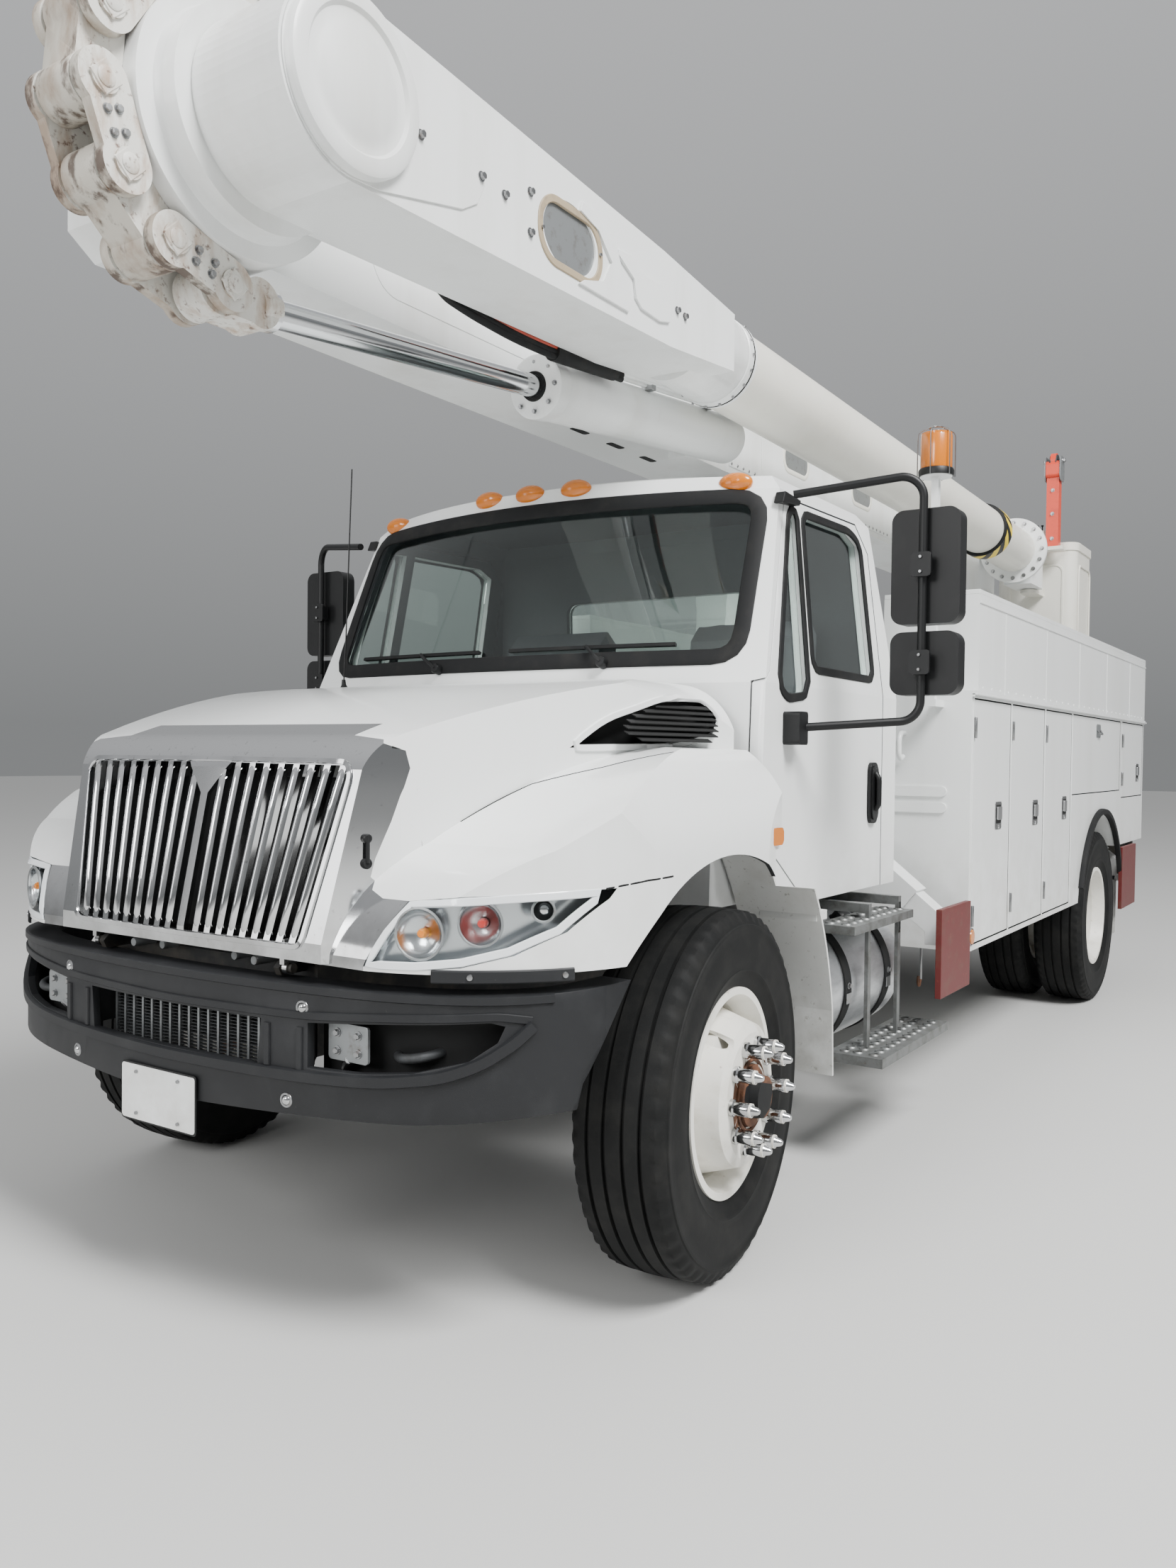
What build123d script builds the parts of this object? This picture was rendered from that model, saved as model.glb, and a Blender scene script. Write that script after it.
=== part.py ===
"""Cherry picker truck: a two-axle conventional truck with a utility body and an articulated boom.

Millimetres. +X is forward, +Y is the driver's side (left), +Z is up. The origin is on the ground,
at the middle of the outline in plan. Lengths in tables headed "from axle" count from the front axle.
"""

from build123d import *
import os
from math import atan2, cos, degrees, hypot, radians, sin

os.makedirs("parts", exist_ok=True)

# Clearances
MOVING_GAP = 6.0
SEAT_GAP = 0.3
SHAFT_GAP = 0.1

# Axles and wheels
FRONT_AXLE_X = 2940.0
WHEELBASE = 4864.0
REAR_AXLE_X = FRONT_AXLE_X - WHEELBASE
REAR = -WHEELBASE
TYRE_RADIUS = 522.0
TYRE_WIDTH = 279.0
BEAD_RADIUS = 286.0
RIM_FLANGE_RADIUS = 298.0
RIM_WIDTH = 235.0
RIM_WALL = 9.0
WHEEL_OFFSET = 168.0
BOLT_CIRCLE_RADIUS = 142.9
HUB_RADIUS = 109.0
LUG_COUNT = 10
FRONT_WHEEL_Y = 1030.0
KINGPIN_Y = 930.0
REAR_OUTER_Y = 1080.0
REAR_INNER_Y = REAR_OUTER_Y - 2 * WHEEL_OFFSET
STEER_REST = 4.85
AXLE_Z = TYRE_RADIUS

# Chassis frame
RAIL_TOP_Z = 960.0
RAIL_HEIGHT = 256.0
RAIL_OUTER_Y = 432.0
RAIL_FLANGE = 82.0
RAIL_WEB = 10.0
RAIL_FRONT_X = FRONT_AXLE_X + 900.0
RAIL_REAR_X = REAR_AXLE_X - 1536.0
SPRING_Y = 400.0
SPRING_WIDTH = 76.0

# Cab
CAB_SKIN = 50.0
CAB_BOTTOM_Z = 978.0
BELT_Z = 1720.0
CAB_SIDE_Y = 1016.0
CAB_BACK = -1701.0
GLASS_THICK = 6.0
GLASS_DEPTH = 20.0

# Hood
HOOD_SKIN = 14.0
ARCH_RADIUS = 690.0
FENDER_Y = 1150.0
GRILLE_SLATS = 9
HINGE_X = 955.0
HINGE_Y = 362.0
HINGE_Z = 935.0
HINGE_PIN_R = 12.0
HINGE_EYE_R = 18.0

# Utility body
BODY_SIDE_Y = 1219.0
BODY_FRONT = -2057.0
BODY_LOW_Z = 661.0
BODY_TOP_Z = 1770.0
BAY_Y = 700.0
BODY_WALL = 25.0
DOOR_THICK = 25.0
BOX_INNER_Y = 790.0
BOX_TOP_Z = 2210.0
BOX_WALL = 20.0
FLOOR_Z = 1150.0
REAR_ARCH_RADIUS = 640.0

# Boom
TURN_X = REAR_AXLE_X - 636.0
LOWER_PIVOT_X = REAR_AXLE_X - 1386.0
LOWER_PIVOT_Z = 2620.0
ELBOW_X = FRONT_AXLE_X + 1090.0
ELBOW_Z = 2965.0
BOOM_LOW_Z = ELBOW_Z - 185.0
BOOM_HIGH_Z = ELBOW_Z + 215.0
TIP_Z = ELBOW_Z - 15.0
TURNTABLE_Z = 1560.0


def fwd(distance):
    """Place on X of a distance ahead of the front axle."""
    return FRONT_AXLE_X + distance


def side_plane(y):
    """Plane at y whose sketches read X and Z, and whose extrusions go towards -Y."""
    return Plane.XZ.offset(-y)


def save(part, name):
    """Label a finished piece and write it."""
    part.label = name
    export_step(part, f"parts/{name}.step")


def save_both_sides(part, name):
    """Write a left piece and its mirror image on the right."""
    save(part, f"{name}_left")
    save(mirror(part, about=Plane.XZ), f"{name}_right")


def outline(points):
    """Closed polygon through points, kept where it is drawn, for the sketch that is open."""
    Polygon(*points, align=None)


def block(x_front, x_rear, y_low, y_high, z_low, z_high):
    """Box between named planes, x counted from the front axle."""
    size = (x_front - x_rear, y_high - y_low, z_high - z_low)
    middle = ((x_front + x_rear) / 2, (y_low + y_high) / 2, (z_low + z_high) / 2)
    return Pos(fwd(middle[0]), middle[1], middle[2]) * Box(*size)


def save_steered(part, name):
    """Write a straight left front piece and its mirror image, both turned about their kingpins."""
    for side, label, piece in ((1, "left", part), (-1, "right", mirror(part, about=Plane.XZ))):
        kingpin = Axis((FRONT_AXLE_X, side * KINGPIN_Y, 0), (0, 0, 1))
        save(piece.rotate(kingpin, STEER_REST), f"{name}_{label}")


# Tyres: one revolved section, used by the two front and four rear tyres
def tyre_solid(y_mid):
    """Plain tyre about the axle line, with its crown, shoulders and sidewall bulge."""
    half = TYRE_WIDTH / 2
    tread_half = half - 24
    with BuildPart() as tyre:
        with BuildSketch(Plane.XY):
            with BuildLine():
                crown = ThreePointArc(
                    (TYRE_RADIUS - 6, -tread_half), (TYRE_RADIUS, 0), (TYRE_RADIUS - 6, tread_half)
                )
                shoulder = Line(crown @ 1, (TYRE_RADIUS - 26, half - 10))
                wall = ThreePointArc(shoulder @ 1, (TYRE_RADIUS - 120, half), (BEAD_RADIUS + 16, 112))
                bead = Line(wall @ 1, (BEAD_RADIUS + 0.3, 100))
                seat = Line(bead @ 1, (BEAD_RADIUS + 0.3, -100))
                bead_in = Line(seat @ 1, (BEAD_RADIUS + 16, -112))
                wall_in = ThreePointArc(bead_in @ 1, (TYRE_RADIUS - 120, -half), (TYRE_RADIUS - 26, 10 - half))
                Line(wall_in @ 1, crown @ 0)
            make_face()
        revolve(axis=Axis.Y)
    return Pos(0, y_mid, AXLE_Z) * tyre.part


def rim_solid(y_mid, dish):
    """Steel disc wheel: rim barrel, disc dished by dish towards +Y, hand holes and lug nuts."""
    half = RIM_WIDTH / 2
    face = y_mid + dish * WHEEL_OFFSET
    rim_y = y_mid + dish * 20
    with BuildPart() as rim:
        with BuildSketch(Plane.XY):
            outline([
                (BEAD_RADIUS, y_mid - half + 14), (RIM_FLANGE_RADIUS, y_mid - half + 8),
                (RIM_FLANGE_RADIUS, y_mid - half), (BEAD_RADIUS - RIM_WALL, y_mid - half),
                (BEAD_RADIUS - 34, y_mid - 50), (BEAD_RADIUS - 34, y_mid + 50),
                (BEAD_RADIUS - RIM_WALL, y_mid + half), (RIM_FLANGE_RADIUS, y_mid + half),
                (RIM_FLANGE_RADIUS, y_mid + half - 8), (BEAD_RADIUS, y_mid + half - 14),
                (BEAD_RADIUS - 25, y_mid + 56), (BEAD_RADIUS - 25, y_mid - 56),
            ])
        revolve(axis=Axis.Y)
        with BuildSketch(Plane.XY):
            outline([
                (HUB_RADIUS - 20, face), (HUB_RADIUS + 66, face), (HUB_RADIUS + 92, face - dish * 12),
                (BEAD_RADIUS - 50, rim_y + dish * 26), (BEAD_RADIUS - 33.5, rim_y),
                (BEAD_RADIUS - 33.5, rim_y - dish * 14), (BEAD_RADIUS - 58, rim_y + dish * 10),
                (HUB_RADIUS + 84, face - dish * 24), (HUB_RADIUS + 60, face - dish * 12),
                (HUB_RADIUS - 20, face - dish * 12),
            ])
        revolve(axis=Axis.Y)
        with Locations(Plane.XZ.offset(-(y_mid + dish * 90))):
            with PolarLocations(BEAD_RADIUS - 68, 2, start_angle=55):
                Cylinder(26, 140, mode=Mode.SUBTRACT)
    return Pos(0, 0, AXLE_Z) * rim.part


def hub_solid(y_low, y_face, y_cap, nut_length):
    """Hub and brake drum from y_low to the disc at y_face, with its cap and lug nuts."""
    with BuildPart() as hub:
        with BuildSketch(Plane.XY):
            outline([
                (0, y_low), (205, y_low), (205, y_face - 60), (150, y_face - 40), (150, y_face - 12.2),
                (HUB_RADIUS - 22, y_face - 12.2), (HUB_RADIUS - 22, y_face + 12),
                (62, y_face + 20), (58, y_cap), (0, y_cap),
            ])
        revolve(axis=Axis.Y)
    with BuildPart() as nuts:
        with Locations(Plane.XZ.offset(-(y_face + nut_length / 2))):
            with PolarLocations(BOLT_CIRCLE_RADIUS, LUG_COUNT):
                Cylinder(19, nut_length)
    return Pos(0, 0, AXLE_Z) * hub.part, Pos(0, 0, AXLE_Z) * nuts.part


front_face = FRONT_WHEEL_Y + WHEEL_OFFSET
save_steered(Pos(FRONT_AXLE_X, 0, 0) * tyre_solid(FRONT_WHEEL_Y), "front_tyre")

front_hub, front_nuts = hub_solid(FRONT_WHEEL_Y - 20, front_face, front_face + 46, 62)
front_rim = rim_solid(FRONT_WHEEL_Y, 1) + front_hub + front_nuts
save_steered(Pos(FRONT_AXLE_X, 0, 0) * front_rim, "front_wheel")

rear_tyres = Part() + [Pos(REAR_AXLE_X, 0, 0) * tyre_solid(y) for y in (REAR_INNER_Y, REAR_OUTER_Y)]
save_both_sides(rear_tyres, "rear_tyres")

rear_face = REAR_OUTER_Y - WHEEL_OFFSET
rear_hub, rear_nuts = hub_solid(REAR_INNER_Y - 100, rear_face, rear_face + 130, 60)
rear_rims = rim_solid(REAR_OUTER_Y, -1) + rim_solid(REAR_INNER_Y, 1) + rear_hub + rear_nuts
save_both_sides(Pos(REAR_AXLE_X, 0, 0) * rear_rims, "rear_wheels")

# Steering knuckles: a yoke above and below the beam's eye, its kingpin, flange and steering arm
KINGPIN_R = 20.0
YOKE_R = 52.0
YOKE_HALF = 120.0
EYE_HALF = 50.0
FLANGE_Y = FRONT_WHEEL_Y - 20 - SEAT_GAP
with BuildPart() as knuckle:
    for yoke_low in (AXLE_Z - YOKE_HALF, AXLE_Z + EYE_HALF + SEAT_GAP):
        with BuildSketch(Plane.XY.offset(yoke_low)):
            with Locations((FRONT_AXLE_X, KINGPIN_Y)):
                Circle(YOKE_R)
            with Locations((FRONT_AXLE_X, (KINGPIN_Y + FLANGE_Y) / 2)):
                Rectangle(90, FLANGE_Y - KINGPIN_Y)
        extrude(amount=YOKE_HALF - EYE_HALF - SEAT_GAP)
    with BuildSketch(Plane.XY.offset(AXLE_Z - YOKE_HALF)):
        with Locations((FRONT_AXLE_X, KINGPIN_Y)):
            Circle(KINGPIN_R)
    extrude(amount=2 * YOKE_HALF)
    with BuildSketch(side_plane(FLANGE_Y)):
        with Locations((FRONT_AXLE_X, AXLE_Z)):
            Circle(150)
    extrude(amount=18)
    with BuildSketch(Plane.XY.offset(AXLE_Z - 110)):
        outline([
            (FRONT_AXLE_X, KINGPIN_Y + 20), (FRONT_AXLE_X - 210, KINGPIN_Y - 40),
            (FRONT_AXLE_X - 210, KINGPIN_Y - 90), (FRONT_AXLE_X, KINGPIN_Y - 30),
        ])
    extrude(amount=30)
save_steered(knuckle.part, "knuckle")

# Front axle: dropped I-beam between its two kingpin eyes, and its two leaf springs
with BuildPart() as front_axle:
    with BuildSketch(Plane.YZ.offset(FRONT_AXLE_X - 45)):
        outline([
            (-KINGPIN_Y, AXLE_Z + EYE_HALF), (140 - KINGPIN_Y, AXLE_Z + EYE_HALF),
            (-RAIL_OUTER_Y - 30, AXLE_Z), (RAIL_OUTER_Y + 30, AXLE_Z),
            (KINGPIN_Y - 140, AXLE_Z + EYE_HALF), (KINGPIN_Y, AXLE_Z + EYE_HALF),
            (KINGPIN_Y, AXLE_Z - EYE_HALF), (KINGPIN_Y - 120, AXLE_Z - EYE_HALF),
            (RAIL_OUTER_Y + 30, AXLE_Z - 110), (-RAIL_OUTER_Y - 30, AXLE_Z - 110),
            (120 - KINGPIN_Y, AXLE_Z - EYE_HALF), (-KINGPIN_Y, AXLE_Z - EYE_HALF),
        ])
    extrude(amount=90)
    for side in (1, -1):
        with BuildSketch(Plane.XY.offset(AXLE_Z - EYE_HALF)):
            with Locations((FRONT_AXLE_X, side * KINGPIN_Y)):
                Circle(45)
        extrude(amount=2 * EYE_HALF)
        with BuildSketch(Plane.XY.offset(AXLE_Z - EYE_HALF)):
            with Locations((FRONT_AXLE_X, side * KINGPIN_Y)):
                Circle(KINGPIN_R + SHAFT_GAP)
        extrude(amount=2 * EYE_HALF, mode=Mode.SUBTRACT)
    for side in (1, -1):
        with BuildSketch(side_plane(side * SPRING_Y)):
            with BuildLine():
                low = ThreePointArc(
                    (FRONT_AXLE_X - 640, RAIL_TOP_Z - RAIL_HEIGHT - 40), (FRONT_AXLE_X, AXLE_Z),
                    (FRONT_AXLE_X + 640, RAIL_TOP_Z - RAIL_HEIGHT - 40),
                )
                rise = Line(low @ 1, (FRONT_AXLE_X + 640, RAIL_TOP_Z - RAIL_HEIGHT - SEAT_GAP))
                step_in = Line(rise @ 1, (FRONT_AXLE_X + 580, RAIL_TOP_Z - RAIL_HEIGHT - SEAT_GAP))
                high = ThreePointArc(
                    step_in @ 1, (FRONT_AXLE_X, AXLE_Z + 75),
                    (FRONT_AXLE_X - 580, RAIL_TOP_Z - RAIL_HEIGHT - SEAT_GAP),
                )
                back = Line(high @ 1, (FRONT_AXLE_X - 640, RAIL_TOP_Z - RAIL_HEIGHT - SEAT_GAP))
                Line(back @ 1, low @ 0)
            make_face()
        extrude(amount=SPRING_WIDTH / 2, both=True)
save(front_axle.part, "front_axle")

# Rear axle: banjo housing between the wheel hubs, and its two leaf springs
AXLE_TUBE_R = 68.0
with BuildPart() as rear_axle:
    with BuildSketch(side_plane(REAR_INNER_Y - 100 - SEAT_GAP)):
        with Locations((REAR_AXLE_X, AXLE_Z)):
            Circle(AXLE_TUBE_R)
    extrude(amount=2 * (REAR_INNER_Y - 100 - SEAT_GAP))
    with Locations((REAR_AXLE_X, 0, AXLE_Z)):
        Sphere(215)
    with BuildSketch(Plane.YZ.offset(REAR_AXLE_X)):
        with Locations((0, AXLE_Z + 20)):
            Circle(110)
    extrude(amount=420, taper=8)
    for side in (1, -1):
        with BuildSketch(side_plane(side * SPRING_Y)):
            with BuildLine():
                low = ThreePointArc(
                    (REAR_AXLE_X - 680, RAIL_TOP_Z - RAIL_HEIGHT - 40), (REAR_AXLE_X, AXLE_Z + 40),
                    (REAR_AXLE_X + 680, RAIL_TOP_Z - RAIL_HEIGHT - 40),
                )
                rise = Line(low @ 1, (REAR_AXLE_X + 680, RAIL_TOP_Z - RAIL_HEIGHT - SEAT_GAP))
                step_in = Line(rise @ 1, (REAR_AXLE_X + 600, RAIL_TOP_Z - RAIL_HEIGHT - SEAT_GAP))
                high = ThreePointArc(
                    step_in @ 1, (REAR_AXLE_X, AXLE_Z + 150),
                    (REAR_AXLE_X - 600, RAIL_TOP_Z - RAIL_HEIGHT - SEAT_GAP),
                )
                back = Line(high @ 1, (REAR_AXLE_X - 680, RAIL_TOP_Z - RAIL_HEIGHT - SEAT_GAP))
                Line(back @ 1, low @ 0)
            make_face()
        extrude(amount=SPRING_WIDTH / 2, both=True)
save(rear_axle.part, "rear_axle")

# Chassis frame: two channel rails with crossmembers between their webs
CROSSMEMBERS = [850, -700, -1800, -3000, REAR + 764, REAR - 836, REAR - 1486]
HITCH_SPACING_Y = 90.0
HITCH_SPACING_Z = 100.0
HITCH_HOLE_R = 11.0
HITCH_Z = 800.0
with BuildPart() as frame_rails:
    for side in (1, -1):
        web = side * RAIL_OUTER_Y
        tip = side * (RAIL_OUTER_Y - RAIL_FLANGE)
        inner = side * (RAIL_OUTER_Y - RAIL_WEB)
        low = RAIL_TOP_Z - RAIL_HEIGHT
        with BuildSketch(Plane.YZ.offset(RAIL_REAR_X)):
            outline([
                (web, low), (tip, low), (tip, low + RAIL_WEB), (inner, low + RAIL_WEB),
                (inner, RAIL_TOP_Z - RAIL_WEB), (tip, RAIL_TOP_Z - RAIL_WEB), (tip, RAIL_TOP_Z),
                (web, RAIL_TOP_Z),
            ])
        extrude(amount=RAIL_FRONT_X - RAIL_REAR_X)
    for member_x in CROSSMEMBERS:
        with BuildSketch(side_plane(RAIL_OUTER_Y - RAIL_WEB)):
            with Locations((fwd(member_x), RAIL_TOP_Z - RAIL_HEIGHT / 2)):
                Rectangle(60, RAIL_HEIGHT - 60)
        extrude(amount=2 * (RAIL_OUTER_Y - RAIL_WEB))
    for side in (1, -1):
        with BuildSketch(side_plane(side * HINGE_Y + 10)):
            outline([
                (fwd(840), RAIL_TOP_Z - 45), (fwd(HINGE_X) - 10, HINGE_Z - 20), (fwd(HINGE_X) + 10, HINGE_Z - 20),
                (fwd(HINGE_X) + 20, HINGE_Z), (fwd(HINGE_X), HINGE_Z + 20), (fwd(840), RAIL_TOP_Z),
            ])
        extrude(amount=20)
        with BuildSketch(side_plane(side * (HINGE_Y + 26) + 18)):
            with Locations((fwd(HINGE_X), HINGE_Z)):
                Circle(HINGE_PIN_R)
        extrude(amount=36)
    with BuildSketch(Plane.YZ.offset(RAIL_REAR_X)):
        with Locations((0, 810)):
            Rectangle(2300, 240)
    extrude(amount=-40)
    with Locations(Plane.YZ.offset(RAIL_REAR_X - 20)):
        with Locations((0, HITCH_Z)):
            with GridLocations(HITCH_SPACING_Y, HITCH_SPACING_Z, 2, 2):
                Cylinder(HITCH_HOLE_R, 100, mode=Mode.SUBTRACT)
save(frame_rails.part, "frame_rails")

# Engine: one plain block between the rails on its mounts, with the radiator and cooler ahead of it
ENGINE_LOW_Z = 720.0
with BuildPart() as engine_block:
    with BuildSketch(Plane.XY.offset(ENGINE_LOW_Z)):
        with Locations((fwd(200), 0)):
            Rectangle(800, 560)
    extrude(amount=640)
    with BuildSketch(Plane.XY.offset(RAIL_TOP_Z + SEAT_GAP)):
        with Locations((fwd(200), 0)):
            Rectangle(160, 2 * (RAIL_OUTER_Y - 20))
    extrude(amount=60)
    chamfer(engine_block.edges().filter_by(Axis.X).group_by(Axis.Z)[-1], 70)

with BuildPart() as radiator:
    with BuildSketch(Plane.YZ.offset(fwd(700))):
        with Locations((0, 1190)):
            RectangleRounded(760, 440, 30)
    extrude(amount=70)
    with BuildSketch(Plane.YZ.offset(fwd(700))):
        for side in (1, -1):
            with Locations((side * (RAIL_OUTER_Y - 60), RAIL_TOP_Z + SEAT_GAP + 15)):
                Rectangle(60, 30)
    extrude(amount=70)
    with BuildSketch(Plane.YZ.offset(fwd(880 + SEAT_GAP))):
        with Locations((0, RAIL_TOP_Z - RAIL_HEIGHT + 60)):
            Rectangle(620, 110)
    extrude(amount=45)
save(engine_block.part + radiator.part, "engine_block")

# Bumper: moulded bow with a top shelf, a lower lip that rises to the ends, and three openings
BUMPER_LOW_Z = 565.0
BUMPER_TOP_Z = 910.0
BUMPER_SKIN = 22.0
BUMPER_DEPTH = 90.0
# columns: half width, height of the low edge there
BUMPER_LIP = [(0, BUMPER_LOW_Z), (800, BUMPER_LOW_Z + 35), (1016, BUMPER_LOW_Z + 55), (1200, BUMPER_LOW_Z + 58)]


def bumper_form(inset, lift):
    """Solid bow moved inwards by inset, with its low edge raised and its top lowered by lift."""
    end_y = 1098 - inset
    with BuildPart() as form:
        with BuildSketch(Plane.XY.offset(BUMPER_LOW_Z - 60)):
            with BuildLine():
                run = Line((fwd(400), end_y), (fwd(560), end_y - 13))
                corner = Bezier(run @ 1, (fwd(898 - 0.85 * inset), 1057 - 0.93 * inset),
                                (fwd(978 - inset), 600 - 0.17 * inset))
                face = ThreePointArc(corner @ 1, (fwd(1030 - inset), 0), (fwd(978 - inset), 0.17 * inset - 600))
                far_corner = Bezier(face @ 1, (fwd(898 - 0.85 * inset), 0.93 * inset - 1057),
                                    (fwd(560), 13 - end_y))
                far_run = Line(far_corner @ 1, (fwd(400), -end_y))
                Line(far_run @ 1, run @ 0)
            make_face()
        extrude(amount=BUMPER_TOP_Z - lift - BUMPER_LOW_Z + 60)
        with BuildSketch(Plane.YZ.offset(fwd(200))):
            outline([(y, z + lift) for y, z in BUMPER_LIP] + [(1200, BUMPER_LOW_Z - 200), (0, BUMPER_LOW_Z - 200)])
            outline([(-y, z + lift) for y, z in BUMPER_LIP] + [(-1200, BUMPER_LOW_Z - 200), (0, BUMPER_LOW_Z - 200)])
        extrude(amount=1000, mode=Mode.SUBTRACT)
    return form.part


with BuildPart() as bumper:
    add(bumper_form(0, 0))
    add(bumper_form(BUMPER_DEPTH, -20), mode=Mode.SUBTRACT)
    add(bumper_form(BUMPER_SKIN, BUMPER_SKIN), mode=Mode.SUBTRACT)
    with BuildSketch(side_plane(1300)):
        outline([(fwd(300), 470), (fwd(700), 470), (fwd(640), 680), (fwd(450), BUMPER_TOP_Z + 10),
                 (fwd(300), BUMPER_TOP_Z + 10)])
    extrude(amount=2600, mode=Mode.SUBTRACT)
    with BuildSketch(Plane.YZ.offset(fwd(800))):
        with Locations((0, 755)):
            Trapezoid(700, 116, 84, rotation=180)
        for side in (1, -1):
            outline([
                (side * 497, 817), (side * 700, 832), (side * 942, 847), (side * 968, 838), (side * 955, 800),
                (side * 900, 755), (side * 780, 722), (side * 640, 708), (side * 497, 706),
            ])
    extrude(amount=300, mode=Mode.SUBTRACT)
    with BuildSketch(Plane.YZ.offset(RAIL_FRONT_X + SEAT_GAP)):
        with Locations((RAIL_OUTER_Y - 40, 760), (40 - RAIL_OUTER_Y, 760)):
            Rectangle(70, 110)
    extrude(amount=97)
save(bumper.part, "bumper")


# Cab: plan sections lofted from the sill to the roof
# columns: height, front at the middle and at the corner (from axle), half width, rear (from axle)
CAB_SECTIONS = [
    (CAB_BOTTOM_Z, -385, -430, CAB_SIDE_Y, CAB_BACK),
    (BELT_Z, -385, -470, CAB_SIDE_Y, CAB_BACK),
    (2400, -542, -745, 928, -1590),
    (2455, -568, -785, 880, -1570),
    (2500, -730, -920, 700, -1420),
]


TOE_INNER_Y = 850.0


def cab_form(inset):
    """Solid of the cab's outer shape, moved inwards by inset, with its toes cut off over the wheels."""
    last = len(CAB_SECTIONS) - 1
    with BuildPart() as form:
        for index, (z, middle, corner, half, rear) in enumerate(CAB_SECTIONS):
            level = z + inset if index == 0 else z - inset if index == last else z
            with BuildSketch(Plane.XY.offset(level)):
                with BuildLine():
                    front = ThreePointArc(
                        (fwd(corner - inset), half - inset), (fwd(middle - inset), 0),
                        (fwd(corner - inset), inset - half),
                    )
                    right = Line(front @ 1, (fwd(rear + inset), inset - half))
                    back = Line(right @ 1, (fwd(rear + inset), half - inset))
                    Line(back @ 1, front @ 0)
                make_face()
        loft(ruled=True)
        for side in (1, -1):
            with BuildSketch(side_plane(side * (TOE_INNER_Y - inset))):
                outline([
                    (fwd(-300), 880), (fwd(-300), 1240 + inset), (fwd(-430), 1240 + inset),
                    (fwd(-690 - inset), 880),
                ])
            extrude(amount=-side * 400, mode=Mode.SUBTRACT)
    return form.part


DOOR_OUTLINE = [
    (-421, 1240), (-421, 1690), (-510, 1762), (-775, 2378), (-1440, 2392), (-1549, 2290),
    (-1549, 1762), (-1549, CAB_BOTTOM_Z - 20), (-836, CAB_BOTTOM_Z - 20),
]
VENT_WINDOW = [(-575, 1722), (-640, 1680), (-808, 1700), (-868, 2335), (-800, 2330)]
DOOR_WINDOW = [(-872, 1790), (-922, 2338), (-1370, 2345), (-1462, 2310), (-1450, 1788)]
WINDSHIELD = [(895, 1810), (868, 2368), (-868, 2368), (-895, 1810)]
REAR_WINDOW_HALF = 560.0


def door_prism(points, shrink):
    """Prism of a side outline through the left wall, drawn in by shrink."""
    with BuildPart() as prism:
        with BuildSketch(side_plane(1100)):
            outline([(fwd(x), z) for x, z in points])
            if shrink:
                offset(amount=-shrink, kind=Kind.INTERSECTION)
        extrude(amount=300)
        with BuildSketch(side_plane(CAB_SIDE_Y - CAB_SKIN + shrink)):
            with Locations((fwd(-350), 1200)):
                Rectangle(400, 1060)
        extrude(amount=300, mode=Mode.SUBTRACT)
    return prism.part


def window_prism(points, x_low, x_high, shrink, corner):
    """Prism of a front outline between two X planes, with rounded corners."""
    with BuildPart() as prism:
        with BuildSketch(Plane.YZ.offset(fwd(x_low))) as window:
            outline(points)
            fillet(window.vertices(), corner)
            if shrink:
                offset(amount=-shrink, kind=Kind.INTERSECTION)
        extrude(amount=x_high - x_low)
    return prism.part


REAR_WINDOW = [
    (REAR_WINDOW_HALF, 1800), (REAR_WINDOW_HALF - 30, 2180), (30 - REAR_WINDOW_HALF, 2180),
    (-REAR_WINDOW_HALF, 1800),
]
cab_outer = cab_form(0)
cab_inner = cab_form(CAB_SKIN)
cab_skin = cab_outer - cab_inner
door_hole = door_prism(DOOR_OUTLINE, 0)
front_hole = window_prism(WINDSHIELD, -950, -300, 0, 60)
rear_hole = window_prism(REAR_WINDOW, -1800, -1450, 0, 50)
cab_shell = cab_skin - door_hole - mirror(door_hole, about=Plane.XZ) - front_hole - rear_hole
with BuildPart() as cab_feet:
    with BuildSketch(Plane.XY.offset(RAIL_TOP_Z + SEAT_GAP)):
        for foot_x in (-600, -1600):
            with Locations((fwd(foot_x), RAIL_OUTER_Y - 40), (fwd(foot_x), 40 - RAIL_OUTER_Y)):
                Rectangle(120, 70)
    extrude(amount=CAB_BOTTOM_Z - RAIL_TOP_Z + 10)
save(cab_shell + cab_feet.part, "cab_shell")

glass_band = cab_form(GLASS_DEPTH) - cab_form(GLASS_DEPTH + GLASS_THICK)
windshield_glass = glass_band & window_prism(WINDSHIELD, -950, -300, SEAT_GAP, 60)
rear_glass = glass_band & window_prism(REAR_WINDOW, -1800, -1450, SEAT_GAP, 50)
save(windshield_glass + rear_glass, "cab_glass")

door_skin = cab_skin & door_prism(DOOR_OUTLINE, MOVING_GAP)
door_left = door_skin - door_prism(VENT_WINDOW, 0) - door_prism(DOOR_WINDOW, 0)
save_both_sides(door_left, "door")
door_glass = glass_band & (door_prism(VENT_WINDOW, SEAT_GAP) + door_prism(DOOR_WINDOW, SEAT_GAP))
save_both_sides(door_glass, "door_glass")

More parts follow.
